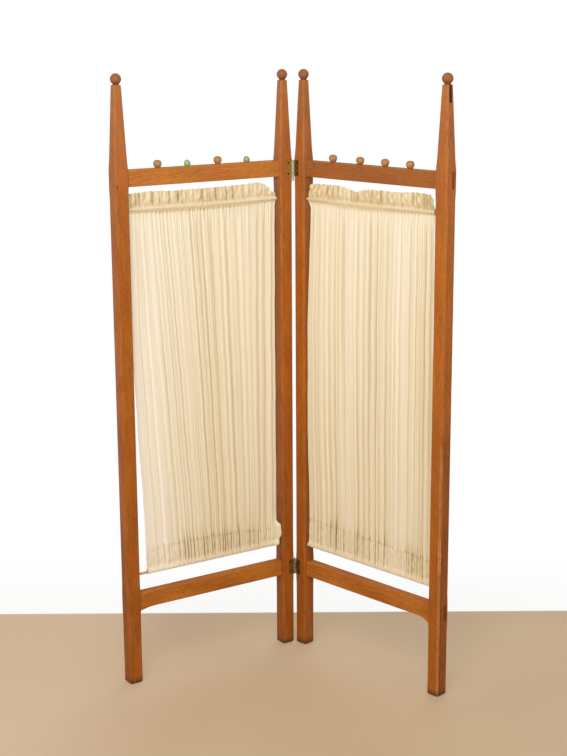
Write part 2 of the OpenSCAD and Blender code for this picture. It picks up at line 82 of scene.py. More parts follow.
def in_row(side, u, v, z):
    """Points of a panel, in millimetres, as points of the row frame, in metres. side: -1 left, 1 right."""
    cos, sin = math.cos(LEAN), math.sin(LEAN)
    x = side * (u * cos + v * sin) * MM
    y = PIN_Y + (v * cos - u * sin) * MM
    return np.stack(np.broadcast_arrays(x, y, z * MM), axis=-1)


# Colours

def linear(red, green, blue):
    """A colour as seen on a screen, 0 to 255, as the linear values that a shader takes."""
    def channel(value):
        value = value / 255
        return value / 12.92 if value <= 0.04045 else ((value + 0.055) / 1.055) ** 2.4
    return (channel(red), channel(green), channel(blue), 1.0)


def from_screen(colour):
    """A colour as seen on a screen, 0 to 1, as linear values."""
    return linear(*(255 * channel for channel in colour))


# Shader nodes

class Value:
    """A node's output as a term of arithmetic. Each step adds a node to the same tree."""

    def __init__(self, socket):
        self.socket = socket

    def __add__(self, other):
        return sums("ADD", self, other)

    def __sub__(self, other):
        return sums("SUBTRACT", self, other)

    def __rsub__(self, other):
        return sums("SUBTRACT", other, self)

    def __mul__(self, other):
        return sums("MULTIPLY", self, other)

    def __truediv__(self, other):
        return sums("DIVIDE", self, other)

    __radd__ = __add__
    __rmul__ = __mul__


def fill(tree, socket, value):
    """Links an input to another node's output, or sets it to a plain value."""
    if isinstance(value, Value):
        value = value.socket
    if isinstance(value, bpy.types.NodeSocket):
        tree.links.new(value, socket)
    else:
        socket.default_value = value


def put(tree, kind, inputs=None, **values):
    """Adds a node, sets its values and fills its inputs."""
    node = tree.nodes.new(kind)
    count = len(tree.nodes)
    node.location = (210 * (count // 6), -230 * (count % 6))
    for name, value in values.items():
        setattr(node, name, value)
    for key, value in (inputs or {}).items():
        fill(tree, node.inputs[key], value)
    return node


def get(kind, terms, output=0, **values):
    """Adds a node to the tree that its terms come from, and gives one of its outputs."""
    if not isinstance(terms, dict):
        terms = dict(enumerate(terms))
    tree = next(term.socket.id_data for term in terms.values() if isinstance(term, Value))
    return Value(put(tree, kind, terms, **values).outputs[output])


def sums(operation, *terms, clamp=False):
    """One step of arithmetic on numbers and values."""
    return get("ShaderNodeMath", terms, operation=operation, use_clamp=clamp)


def vectors(operation, *terms, output=0):
    """One step of vector arithmetic."""
    return get("ShaderNodeVectorMath", terms, output, operation=operation)


def split(vector):
    """The three parts of a vector."""
    return [Value(part) for part in get("ShaderNodeSeparateXYZ", [vector]).socket.node.outputs]


def remap(value, low, high, to_low=0.0, to_high=1.0, soft=True):
    """Takes a value from one span to another, without passing its ends."""
    kind = "SMOOTHSTEP" if soft else "LINEAR"
    return get("ShaderNodeMapRange", (value, low, high, to_low, to_high), interpolation_type=kind)


def mixed(share, first, second):
    """Mixes two colours. Plain ones are mixed at once, without a node."""
    if not any(isinstance(term, Value) for term in (share, first, second)):
        return [a + (b - a) * share for a, b in zip(first, second)]
    return get("ShaderNodeMix", {0: share, 6: first, 7: second}, 2, data_type="RGBA")


def layered(colour, *layers):
    """A colour with others laid over it in turn, each as (share, colour)."""
    for share, over in layers:
        colour = mixed(share, colour, over)
    return colour


def noise(vector, scale, detail=2.0, roughness=0.5, distortion=0.0, stretch=None, output=0):
    """Soft random pattern, as a number about 0.5, drawn out along the axes where stretch is small."""
    if stretch:
        vector = vectors("MULTIPLY", vector, stretch)
    return get("ShaderNodeTexNoise", {"Vector": vector, "Scale": scale, "Detail": detail,
                                      "Roughness": roughness, "Distortion": distortion}, output)


def coordinates(tree, kind="Object"):
    """The place in the row frame, or another kind of texture coordinates."""
    return Value(put(tree, "ShaderNodeTexCoord").outputs[kind])


def own_axes(tree, origin, turn):
    """Object coordinates measured from a member's own origin and axes."""
    return get("ShaderNodeMapping", {"Vector": coordinates(tree), "Location": origin, "Rotation": turn},
               vector_type="TEXTURE")


def material(name):
    """A new material and its empty tree."""
    made = bpy.data.materials.new(name)
    made.use_nodes = True
    made.node_tree.nodes.clear()
    return made, made.node_tree


def finish_surface(tree, colour, roughness, height, bump_distance, plain, **bump):
    """Shader, bump and output of a material. plain holds inputs of the shader that are the same all over."""
    bump = get("ShaderNodeBump", {"Height": height, "Strength": 1.0, "Distance": bump_distance, **bump})
    shader = put(tree, "ShaderNodeBsdfPrincipled",
                 {"Base Color": colour, "Roughness": roughness, "Normal": bump, **plain})
    put(tree, "ShaderNodeOutputMaterial", {"Surface": shader.outputs[0]})


def new_group(name, tree_type, sockets_in, sockets_out):
    """A node group with named sockets of given kinds. Gives its tree, the values that go in and its output
    node."""
    tree = bpy.data.node_groups.new(name, tree_type)
    for direction, sockets in (("INPUT", sockets_in), ("OUTPUT", sockets_out)):
        for label, kind in sockets.items():
            tree.interface.new_socket(label, in_out=direction, socket_type="NodeSocket" + kind)
    inside = put(tree, "NodeGroupInput")
    out = put(tree, "NodeGroupOutput")
    return tree, [Value(inside.outputs[label]) for label in sockets_in], out


def give(node, made):
    """Puts a material on a node of the frame, in place of its plain one."""
    for slot in frame["nodes"][node].material_slots:
        slot.material = made


# Oak

def oak_group():
    """Oak seen from any side: growth rings round a far pith, pores, ray flecks, blotches, wear and soil, with
    painted haze near the top and painted shade on upward faces.
    The grain runs along Z of the vector that goes in."""
    tree, (vector, pale, deep, dirt, spacing, flecked, wear, soiled), out = new_group(
        "Oak", "ShaderNodeTree",
        {"Vector": "Vector", "Pale": "Color", "Deep": "Color", "Pore": "Color", "Ring Spacing": "Float",
         "Fleck": "Float", "Wear": "Float", "Soil": "Float"},
        {"Color": "Color", "Roughness": "Float", "Height": "Float", "Normal": "Vector"})
    wander = noise(vector, 17.0, 3.0, stretch=(1, 1, 0.2), output=1)
    bent = vectors("MULTIPLY_ADD", wander, (0.030, 0.030, 0.0), vector)
    x, y, _ = split(vectors("ADD", bent, (0.055, 0.03, 0.0)))
    ring = sums("FRACT", sums("SQRT", x * x + y * y) / spacing)
    early = remap(1.0 - sums("ABSOLUTE", 2.0 * ring - 1.0), 0.15, 0.9)
    streak = noise(vector, 240.0, 4.0, 0.62, stretch=(1, 1, 0.05))
    hair = noise(vector, 1500.0, 2.0, 0.6, stretch=(1, 1, 0.025))
    blotch = noise(vector, 42.0, 4.0, 0.6, stretch=(1, 1, 0.22))
    pore = remap(noise(vector, 950.0, 1.0, stretch=(1, 1, 0.07)), 0.57, 0.68) * (0.75 * early + 0.25)
    fleck = remap(noise(vector, 420.0, 1.0, 0.5, 0.6, stretch=(1, 0.55, 0.14)), 0.61, 0.70)
    mottle = noise(vector, 260.0, 3.0, 0.7, stretch=(1, 1, 0.4))
    tone = 0.30 * early + (0.95 * streak - 0.165)
    tone = sums("MULTIPLY_ADD", blotch - 0.5, 1.5, tone, clamp=True)
    soft = Value(put(tree, "ShaderNodeBevel", {"Radius": 0.0016}, samples=4).outputs[0])
    sharp = Value(put(tree, "ShaderNodeNewGeometry").outputs["Normal"])
    edge = remap(1.0 - vectors("DOT_PRODUCT", soft, sharp, output=1), 0.004, 0.10)
    patchy = remap(noise(vector, 160.0, 3.0, 0.7, stretch=(1, 1, 0.2)), 0.38, 0.62)
    level = split(coordinates(tree))[2]
    # Painted haze of stray light on the upper posts and spires, paler and pinker with height, partly worn
    # finish
    top_haze_and_wear = remap(level, 0.95, 1.37, 0.0, 0.26, soft=False)
    soil = remap(level, 0.0, 0.95, 1.0, 0.0) * soiled * remap(blotch, 0.3, 0.65, 0.55, 1.0)
    foot = remap(level, 0.020, 0.003) * remap(streak, 0.3, 0.6, 0.45, 0.85)
    upward = remap(split(coordinates(tree, "Normal"))[2], 0.6, 0.9)
    colour = layered(
        mixed(tone, pale, deep),
        (0.35 * hair, deep),
        (0.6 * pore, dirt),
        (fleck * flecked, pale),
        (remap(mottle, 0.49, 0.66, 0.0, 0.84), linear(152, 108, 58)),
        (remap(mottle, 0.49, 0.34, 0.0, 0.7), linear(182, 84, 18)),
        (edge * patchy * wear, mixed(0.45, pale, linear(236, 190, 130))),
        (top_haze_and_wear, linear(182, 132, 94)),
        (soil, mixed(0.5, deep, dirt)),
        # painted shade on the upward faces, and a darker band just above the floor
        (sums("MAXIMUM", 0.16 * upward, foot), dirt))
    roughness = 0.22 * blotch + 0.38 + 0.18 * pore + 0.15 * soil + 0.3 * upward
    height = 0.22 * hair - (0.7 * pore + 0.18 * early)
    for name, value in (("Color", colour), ("Roughness", roughness), ("Height", height), ("Normal", soft)):
        fill(tree, out.inputs[name], value)
    return tree


def stained_and_shaded(colour, local, stains_and_shade, dark):
    """Stained, rubbed and painted-shade boxes of a member, each given as its middle, its half sizes, its
    strength, darker where it is positive and paler where it is negative, and how patchy it is."""
    spots = noise(local, 300.0, 4.0, 0.7, stretch=(1, 1, 0.16))
    for middle, half, strength, patchy in stains_and_shade:
        away = vectors("ABSOLUTE", vectors("SUBTRACT", local, middle))
        x, y, z = split(vectors("DIVIDE", away, half))
        share = remap(sums("MAXIMUM", sums("MAXIMUM", x, y), z), 1.0, 0.94, 0.0, abs(strength))
        share = share * remap(spots, 0.42, 0.60, 1.0 - patchy, 1.0)
        colour = mixed(share, colour, dark if strength > 0 else linear(226, 176, 120))
    return colour


def oak_material(name, group, origin, turn, stains_and_shade, inputs):
    """One member's oak, with its own stretch of grain, its stains and its painted shade."""
    made, tree = material(name)
    oak = put(tree, "ShaderNodeGroup", {"Vector": own_axes(tree, origin, turn), **inputs}, node_tree=group)
    colour = Value(oak.outputs["Color"])
    if stains_and_shade:
        colour = stained_and_shaded(colour, own_axes(tree, (origin[0], origin[1], 0.0), turn), stains_and_shade, inputs["Pore"])
    finish_surface(tree, colour, oak.outputs["Roughness"], Value(oak.outputs["Height"]), 0.00022,
                   {"Specular IOR Level": 0.25}, Normal=oak.outputs["Normal"])
    return made


# Curtains

def smooth(low, high, value):
    """0 below low, 1 above high and a soft step between them."""
    share = np.clip((value - low) / (high - low), 0, 1)
    return share * share * (3 - 2 * share)


def graph(points, place):
    """The value at a place of a line through points."""
    return np.interp(place, *zip(*points))


# The cloth's path, in millimetres: how far single cloth and sewn leaves lie from the plane of the rods' axes,
# how far the cloth lies from the axis of a rod that it goes round, beside it and below it, the height over
# which the hem closes above its rod, and the height of a full ruffle
SINGLE_GAP = 0.3
SEWN_GAP = 0.45
ROUND_ROD = ROD_R + 0.85
UNDER_ROD = 4.0
HEM_CLOSES = 12
RUFFLE_HEIGHT = 30
DROP = TOP_ROD_Z - BOTTOM_ROD_Z
# How far the turned edges reach past their rows of stitches, how far the leaves swell apart between two rows,
# how far below its top the upper fold starts, and its steps up and back, in millimetres
HEM_EDGE = 3.5
CASING_EDGE = 2.5
HEM_SWELL = 0.6
RUFFLE_SWELL = 0.7
TOP_FOLD_START = 0.6
TOP_FOLD = ((-0.15, -0.35), (0.1, 0.0), (-0.15, 0.35))
# How far small ripples lift and lower the sewn rows and the top fold, in millimetres
ROW_RIPPLE = {"seam": 0.5, "lower_row": 0.25, "upper_row": 0.15, "top": 0.55}
# Waves across a curtain: the fewest and most in its width, and how many are added up, for each band
BROAD, MIDDLE, FINE, TINY = range(4)
BANDS = ((2, 6, 4), (14, 26, 8), (28, 66, 14), (70, 96, 10))
CRUMPLE_WAVES = 12
# A groove's steepness and roundness, and the depth that close tucks don't add up past
GROOVE_STEEP = 1.5
GROOVE_ROUND = 0.12
DEEPEST_TUCK = 1.5
# Half widths of a main fold, a hem tuck and a crease, as shares of the curtain's width
FOLD_WIDTH = 0.0085
TUCK_WIDTH = 0.0040
CREASE_WIDTH = 0.0060
# How strongly all folds are shaded, how dark the seam of the hem is, and how much of the look of doubled
# cloth the hem has
SHADE_GAIN = 1.38
SEAM_SHADE = 0.3
HEM_DOUBLED = 0.2
# The curled corner of the left hem: where it starts, how far out it reaches, the height of its upper corner,
# and how near it comes to the inner post and to the plane of the posts' fronts
CURL_START = 42.0
CURL_REACH = 13.0
CURL_TOP = 312
CLEAR_U = 34.6
CLEAR_V = 1.9

# What the photograph shows of each curtain. Heights and distances are in millimetres, and a place is a share
# of the curtain's width at the height in question:
# - main_folds: place, depth, height where deepest (a share of the drop), how far up and down they run
# - hem_tucks, creases (of the ruffle): place, depth
# - inner, outer: height, distance of the side edge from the pin
# - slant: thread, how far it moves outwards on its way down
# - top, upper_row, lower_row, seam: place, height of the top fold and of the sewn rows
# - ruffle_tone, hem_tone: place, how much darker the cloth is there
# - thin, thin_drop: place or height, how much light comes through
# - fold_shade, dots, casing, casing_end, streaks: how much painted shade the folds get, and the puckers below
#   the casing, the casing, its inner end, and the gathers round the rods
CURTAINS = {
    "left": {
        "seed": 11, "rod_v": MID_V, "fold_shade": 0.84, "dots": 0.75,
        "casing": 0.09, "casing_end": 0, "streaks": 0.14,
        "main_folds": (
            (0.015, 0.3, 0.5, 0.6), (0.08, 0.25, 0.3, 0.5), (0.122, 0.5, 0.5, 1), (0.198, 0.75, 0.75, 0.5),
            (0.275, 0.75, 0.35, 0.5), (0.35, 1, 0.5, 1.2), (0.45, 1.2, 0.5, 1.2), (0.508, 1.2, 0.5, 0.45),
            (0.547, 1.35, 0.22, 0.35), (0.585, 0.9, 0.6, 0.9), (0.623, 0.3, 0.5, 1), (0.657, 0.95, 0.6, 0.8),
            (0.708, 0.45, 0.9, 0.4), (0.745, 1.4, 0.6, 1), (0.787, 0.5, 0.6, 0.5), (0.835, 0.4, 0.7, 0.4),
            (0.873, 0.7, 0.95, 0.4), (0.917, 0.85, 0.75, 0.6), (0.95, 0.7, 0.45, 0.35),
        ),
        "hem_tucks": (
            (0.145, 1.1), (0.178, 1.1), (0.212, 1.2), (0.292, 0.85), (0.32, 0.6), (0.357, 1), (0.383, 0.7),
            (0.402, 0.9), (0.417, 0.8), (0.447, 0.5), (0.487, 1), (0.505, 0.7), (0.535, 0.5), (0.562, 1.15),
            (0.605, 0.5), (0.64, 1.5), (0.662, 0.5), (0.682, 1), (0.705, 1.2), (0.745, 0.3), (0.77, 0.25),
        ),
        "creases": (
            (0.05, 0.4), (0.09, 0.5), (0.15, 0.4), (0.22, 0.5), (0.255, 0.3), (0.293, 1.1), (0.338, 0.6),
            (0.368, 0.5), (0.412, 1.4), (0.452, 0.5), (0.503, 1.1), (0.56, 0.4), (0.61, 0.8), (0.638, 0.5),
            (0.664, 1.4), (0.722, 0.9), (0.79, 0.7), (0.831, 1.1), (0.88, 0.3), (0.918, 0.9), (0.945, 0.6),
            (0.975, 0.7),
        ),
        "inner": ((250, 42), (850, 42), (1088, 40.2), (1101, 35.6), (1113, 39.6), (1140, 41.6)),
        "outer": ((250, 397), (300, 399), (420, 404), (840, 423.6), (1140, 423.6)),
        "slant": (
            (0, 0), (0.1, 0.015), (0.2, -0.02), (0.3, -0.045), (0.45, -0.06), (0.6, -0.095), (0.75, -0.11),
            (0.88, -0.085), (0.95, -0.03), (1, 0),
        ),
        "top": (
            (0, 1115), (0.02, 1117), (0.05, 1129), (0.085, 1138), (0.12, 1140.5), (0.3, 1137.5),
            (0.45, 1136.5), (0.55, 1137), (0.72, 1136.5), (0.85, 1139), (0.95, 1137), (1, 1135),
        ),
        "upper_row": ((0, 1109.5), (0.3, 1107.2), (0.5, 1106.8), (0.8, 1107), (1, 1107.8)),
        "lower_row": ((0, 1096), (0.15, 1093), (0.3, 1090.8), (0.5, 1090), (0.8, 1091.5), (1, 1095)),
        "seam": (
            (0, 301), (0.13, 301), (0.2, 306), (0.3, 311), (0.5, 313), (0.7, 314.5), (0.92, 314.5),
            (0.955, 307.5), (1, 310),
        ),
        "ruffle_tone": (
            (0, -0.07), (0.1, -0.11), (0.27, -0.11), (0.3, 0.07), (0.5, 0.16), (0.55, 0.04), (0.6, -0.09),
            (0.72, -0.05), (0.8, 0.02), (0.84, -0.06), (0.91, -0.02), (0.93, 0.18), (1, 0.22),
        ),
        "hem_tone": (
            (0, -0.04), (0.14, -0.01), (0.4, 0.04), (0.48, 0.06), (0.55, -0.04), (0.7, 0), (0.76, -0.15),
            (0.88, -0.2), (1, -0.04),
        ),
        "thin": (
            (0, 0.3), (0.07, 0.3), (0.1, 0), (0.56, 0), (0.64, 0.3), (0.79, 0.4), (0.84, 1), (0.9, 1),
            (0.93, 0.95), (1, 1),
        ),
        "thin_drop": (
            (200, 0.25), (250, 0.55), (318, 0.7), (322, 1), (600, 1), (850, 0.9), (1080, 0.55), (1110, 0),
        ),
    },
    "right": {
        "seed": 29, "rod_v": MID_V - 6.0, "fold_shade": 1.12, "dots": 0.4,
        "casing": 0.18, "casing_end": 0.3, "streaks": 0.17,
        "main_folds": (
            (0.045, 0.25, 0.7, 0.5), (0.085, 0.45, 0.05, 0.3), (0.155, 0.85, 0.7, 0.8),
            (0.203, 1.3, 0.7, 0.7), (0.27, 1, 0.12, 0.3), (0.288, 1, 0.5, 0.3), (0.338, 0.6, 0.85, 0.25),
            (0.393, 1, 0.7, 0.8), (0.445, 0.75, 0.6, 0.5), (0.497, 1, 0.45, 0.8), (0.562, 1.2, 0.5, 0.6),
            (0.603, 0.3, 0.1, 0.3), (0.642, 1.1, 0.5, 0.7), (0.68, 0.6, 0.4, 0.4), (0.705, 0.5, 0.45, 0.3),
            (0.748, 0.65, 0.5, 1), (0.82, 1.05, 0.3, 1), (0.873, 0.8, 0.35, 0.35), (0.905, 1, 0.5, 0.45),
            (0.932, 0.95, 0.4, 0.9), (0.973, 0.85, 0.45, 0.4),
        ),
        "hem_tucks": (
            (0.184, 0.6), (0.234, 1.5), (0.3, 0.25), (0.393, 0.7), (0.412, 0.7), (0.462, 0.7), (0.512, 0.8),
            (0.562, 1.3), (0.59, 0.8), (0.631, 0.9), (0.655, 0.4), (0.812, 0.8), (0.829, 0.6), (0.852, 0.9),
            (0.872, 0.7), (0.893, 0.9), (0.915, 0.5), (0.937, 0.8),
        ),
        "creases": (
            (0.03, 0.4), (0.068, 0.6), (0.1, 0.5), (0.147, 1.2), (0.197, 0.8), (0.242, 0.7), (0.275, 0.3),
            (0.352, 0.6), (0.378, 0.8), (0.402, 0.7), (0.47, 0.3), (0.52, 0.8), (0.594, 1.2), (0.645, 0.4),
            (0.69, 0.4), (0.752, 0.4), (0.842, 1), (0.872, 0.5), (0.925, 1), (0.948, 0.9), (0.972, 0.7),
        ),
        "inner": (
            (250, 36.5), (282, 38.1), (316, 40.1), (382, 40.5), (449, 37.6), (500, 34.6), (790, 34.6),
            (849, 37.1), (949, 40.2), (1016, 43.8), (1049, 46.3), (1080, 46.5), (1101, 37.4), (1122, 45),
            (1140, 46.8),
        ),
        "outer": ((250, 423.9), (300, 423.6), (850, 419.5), (1100, 418.7), (1140, 414)),
        "slant": (
            (0, 0), (0.1, 0.035), (0.25, 0.035), (0.4, 0.025), (0.5, 0.01), (0.6, -0.005), (0.9, -0.01),
            (1, 0),
        ),
        "top": (
            (0, 1135), (0.05, 1137.5), (0.22, 1138), (0.3, 1135), (0.36, 1130), (0.395, 1127.5), (0.43, 1132),
            (0.5, 1136), (0.6, 1136), (0.75, 1136.5), (0.86, 1140), (0.95, 1139), (0.98, 1136), (1, 1129),
        ),
        "upper_row": ((0, 1107), (0.3, 1107.5), (0.6, 1107), (0.9, 1109.5), (1, 1109)),
        "lower_row": ((0, 1094), (0.25, 1090.5), (0.5, 1089.5), (0.7, 1093), (1, 1096)),
        "seam": ((0, 326), (0.3, 324), (0.5, 322), (0.65, 320.5), (0.8, 320), (0.9, 316.5), (1, 314)),
        "ruffle_tone": (
            (0, 0.31), (0.1, 0.14), (0.15, 0.21), (0.24, 0.24), (0.28, 0.06), (0.34, 0.03), (0.37, 0.26),
            (0.43, 0.27), (0.48, 0.34), (0.58, 0.32), (0.63, 0.28), (0.7, 0.19), (0.8, 0.17), (0.9, 0.29),
            (0.93, 0.48), (1, 0.52),
        ),
        "hem_tone": (
            (0, -0.01), (0.16, -0.02), (0.3, 0.05), (0.4, 0.05), (0.5, 0), (0.6, -0.13), (0.68, -0.19),
            (0.79, -0.1), (0.83, -0.08), (1, 0.08),
        ),
        "thin": (
            (0, 0), (0.28, 0), (0.33, 0.55), (0.38, 0.5), (0.41, 0), (0.68, 0), (0.71, 0.55), (0.79, 0.5),
            (0.81, 0), (1, 0),
        ),
        "thin_drop": (
            (200, 0.1), (318, 0.2), (322, 0.4), (560, 0.35), (760, 0.6), (1040, 0.9), (1090, 0.3), (1110, 0),
        ),
    },
}


def sheet_mesh(name, points, flat, values, flipped):
    """A mesh from rows of points, with the flat cloth as its UV map and named values on its points."""
    rows, count = points.shape[:2]
    first = (np.arange(rows - 1)[:, None] * count + np.arange(count - 1)).ravel()
    quads = np.stack([first, first + 1, first + count + 1, first + count], axis=-1)
    mesh = bpy.data.meshes.new(name)
    mesh.from_pydata(points.reshape(-1, 3).tolist(), [], quads[:, ::-1 if flipped else 1].tolist())
    for label, value in values.items():
        mesh.attributes.new(label, "FLOAT", "POINT").data.foreach_set("value", value.ravel())
    corners = np.zeros(len(mesh.loops), dtype=np.int32)
    mesh.loops.foreach_get("vertex_index", corners)
    layer = mesh.uv_layers.new(name="Cloth")
    layer.data.foreach_set("uv", flat.reshape(-1, 2)[corners].ravel())
    mesh.polygons.foreach_set("use_smooth", [True] * len(mesh.polygons))
    mesh.update()
    return mesh


class Ripples:
    """Bands of soft waves across a curtain, about -1 to 1, that drift a little with height."""

    def __init__(self, seed):
        random = np.random.default_rng(seed)
        self.bands = []
        for low, high, count in BANDS:
            self.bands.append({
                "pitch": random.uniform(low, high, count),
                "phase": random.uniform(0, 2 * np.pi, count),
                "drift": random.uniform(0.1, 0.7, count),
                "reach": random.uniform(500, 1400, count),
                "start": random.uniform(0, 2 * np.pi, count),
                "size": random.uniform(0.6, 1.0, count) / math.sqrt(count / 2),
            })
        self.creasing = {
            "pitch": random.uniform(6, 34, CRUMPLE_WAVES),
            "rise": random.uniform(0.02, 0.06, CRUMPLE_WAVES) * random.choice((-1, 1), CRUMPLE_WAVES),
            "phase": random.uniform(0, 2 * np.pi, CRUMPLE_WAVES),
        }

    def crumple(self, thread, z):
        """Small dents that run every way, about -1 to 1."""
        total = 0
        for pitch, rise, phase in zip(*self.creasing.values()):
            total = total + np.sin(2 * np.pi * (pitch * thread + rise * z) + phase)
        return total / math.sqrt(CRUMPLE_WAVES / 2)

    def at(self, band, thread, z):
        """One band at threads and heights."""
        total = 0
        for pitch, phase, drift, reach, start, size in zip(*self.bands[band].values()):
            shift = drift * np.sin(2 * np.pi * z / reach + start)
            total = total + size * np.sin(2 * np.pi * pitch * thread + phase + shift)
        return total


class Curtain:
    """One curtain: a single sheet sewn to its path round both rods and gathered.
    thread is the place of a lengthwise thread, 0 at the inner edge and 1 at the outer, and names a column."""

    def __init__(self, name, settings):
        self.name = name
        self.side = SIDES[name]
        self.settings = settings
        vars(self).update(CURTAINS[name])
        self.ripples = Ripples(self.seed)
        probe = np.linspace(0, 1, 1001)
        self.tucks = [(np.interp(place, self.hung(probe, BOTTOM_ROD_Z), probe), depth)
                      for place, depth in self.hem_tucks]

    def hung(self, thread, z):
        """Where a thread hangs at a height, as a share of the width there: the folds slant a little."""
        drop = np.clip((TOP_ROD_Z - z) / DROP, 0, 1)
        return thread + graph(self.slant, thread) * np.interp(drop, (0, 0.33, 0.67, 1), (0, 0.5, 0.75, 1))

    def edge(self, points, z):
        """A side edge's distance from the pin at a height, with the small waver of a real edge."""
        waver = 0.5 * np.sin(z / 37 + self.side) + 0.35 * np.sin(z / 13.7 + 2)
        return graph(points, z) + waver * smooth(265, 330, z) * smooth(1095, 1060, z)

    def row_z(self, row, thread, rippled=True):
        """Height of a sewn row or of the top fold along the cloth."""
        points = getattr(self, row)
        level = graph(points, self.hung(thread, np.mean([height for _, height in points])))
        if not rippled:
            return level
        ripples = self.ripples.at(FINE, thread, 700.0) + 0.8 * self.ripples.at(MIDDLE, thread, 400.0)
        return level + ROW_RIPPLE[row] * ripples

    def tucked(self, thread):
        """Depth of the hem's tucks, where close ones don't add up to more than a deep one."""
        return DEEPEST_TUCK * np.tanh(self.groove(self.tucks, thread, TUCK_WIDTH) / DEEPEST_TUCK)

    def groove(self, marks, thread, width, weight=None):
        """Sum of narrow grooves at marked threads."""
        total = 0
        peak = math.exp(-GROOVE_STEEP * math.sqrt(GROOVE_ROUND))
        for mark in marks:
            size = mark[1] * (1 if weight is None else weight(mark))
            reach = np.abs(thread - mark[0]) / width
            total = total + size * np.exp(-GROOVE_STEEP * np.sqrt(reach ** 2 + GROOVE_ROUND)) / peak
        return total

    def drape(self, thread, z, waves):
        """Push and shade of the cloth between the rods: its main folds, and gathers near the top rod."""
        broad, middle, fine, tiny, _ = waves
        drop = (TOP_ROD_Z - z) / DROP
        from_top, from_bottom = np.abs(z - TOP_ROD_Z), np.abs(z - BOTTOM_ROD_Z)
        deep = self.settings.fold_depth / MM
        open_up = smooth(9, 60, from_top) * smooth(12, 90, from_bottom)
        near_top = np.exp(-from_top / 30) * smooth(5, 12, from_top)
        folds = self.groove(self.main_folds, thread, FOLD_WIDTH,
                            lambda mark: np.exp(-((drop - mark[2]) / mark[3]) ** 2))
        push = deep * (folds - 0.45 + 0.26 * broad + 0.20 * middle) * open_up + 0.26 * fine + 0.1 * tiny
        push = push + (0.5 * fine + 0.35 * tiny + 0.5 * middle) * near_top
        shade = (0.33 * folds + 0.08 * middle + 0.06 * broad) * open_up + 0.08 * fine
        return push, shade * self.fold_shade + 0.14 * (fine + tiny) * near_top

    def hem(self, thread, z, waves):
        """Push and shade of the hem, with its tucks, which run out above the seam."""
        _, middle, fine, tiny, crumple = waves
        seam = self.row_z("seam", thread, rippled=False)
        inside = smooth(3, 10, np.abs(z - BOTTOM_ROD_Z)) * np.where(z < seam, 1.0, np.exp(-(z - seam) / 16))
        tucks = self.tucked(thread)
        push = (4.4 * tucks + 0.5 * middle + 0.5 * fine + 0.4 * tiny + 0.35 * crumple) * inside
        shade = (1.42 * tucks + 0.06 * crumple + 0.20 * fine + 0.18 * tiny + 0.08 * middle) * inside
        return push, shade + graph(self.hem_tone, thread) * (z < seam)

    def ruffle(self, thread, z, waves):
        """Push and shade of the ruffle above the top rod, with its creases."""
        _, middle, fine, _, crumple = waves
        creases = self.groove(self.creases, thread, CREASE_WIDTH)
        height = z - self.row_z("upper_row", thread, rippled=False)
        height = np.clip(height / RUFFLE_HEIGHT, 0, 1.3)
        puff = 0.8 * np.sin(np.pi * np.clip(height, 0, 1) ** 0.7) + 0.45 * smooth(0.05, 1, height)
        push = (6.0 * creases - 2.8 + 0.9 * middle + 0.5 * fine + 0.9 * crumple) * puff
        shade = 1.05 * creases * smooth(-0.1, 0.2, height) + 0.07 * middle + 0.12 * crumple
        return push, shade + graph(self.ruffle_tone, thread) + 0.22 * smooth(0.16, 0.0, height)

    def relief(self, thread, z):
        """Backward push of the cloth at a height, forward where it is negative, and its painted shade, 0 to
        1, which is deepest in the folds."""
        waves = [self.ripples.at(band, thread, z) for band in (BROAD, MIDDLE, FINE, TINY)]
        fine, tiny = waves[FINE], waves[TINY]
        waves.append(self.ripples.crumple(thread, z))
        parts = zip(*(part(thread, z, waves) for part in (self.drape, self.hem, self.ruffle)))
        push, shade = (np.where(z > TOP_ROD_Z, ruffle, drape + hem) for drape, hem, ruffle in parts)
        below = z - self.row_z("lower_row", thread, rippled=False)
        pucker = np.exp(-((below - 1.5) / 3.0) ** 4)
        dots = self.dots * smooth(0.1, 1.0, fine + 0.6 * tiny) * smooth(0.2, 0.3, thread)
        return push + 0.75 * tiny * pucker, shade + (0.05 + dots) * pucker

    def rows(self, thread):
        """The sheet's path from the back of the hem, under the bottom rod, up the front, over the top fold
        and down behind the top rod. Each row is (height, distance behind the rod's axis, round the rod,
        doubled)."""
        seam, top, low, high = (self.row_z(row, thread) for row in ("seam", "top", "lower_row", "upper_row"))
        none = 0 * thread
        rows = []

        def leaf(start, end, count, back, gap, swell=0.0, doubled=1.0):
            for part in np.arange(count) / count:
                rows.append((start + (end - start) * part, back * (gap + swell * math.sin(math.pi * part)),
                             none, doubled))

        def beside_rod(back, near):
            return back * (SEWN_GAP + (ROUND_ROD - SEWN_GAP) * near)

        def round_rod():
            for angle in np.radians(-180 * np.arange(12) / 12):
                z = BOTTOM_ROD_Z + UNDER_ROD * math.sin(angle)
                rows.append((z + none, ROUND_ROD * math.cos(angle), none + 1, HEM_DOUBLED))

        def over_rod(back):
            for part in np.arange(4) / 4:
                part = 1 - part if back > 0 else part
                near = float(1 - smooth(0, 1, part))
                z = BOTTOM_ROD_Z + HEM_CLOSES * part
                rows.append((z + none, beside_rod(back, near), none + near, HEM_DOUBLED))

        def past_rod(start, end, count, back):
            for part in np.arange(count) / count:
                z = start + (end - start) * part
                span = np.where(z > TOP_ROD_Z, np.minimum(high - TOP_ROD_Z, 7.0), TOP_ROD_Z - low)
                near = np.cos(np.pi / 2 * np.clip(np.abs(z - TOP_ROD_Z) / span, 0, 1)) ** 2
                rows.append((z, beside_rod(back, near), near, 1.0))

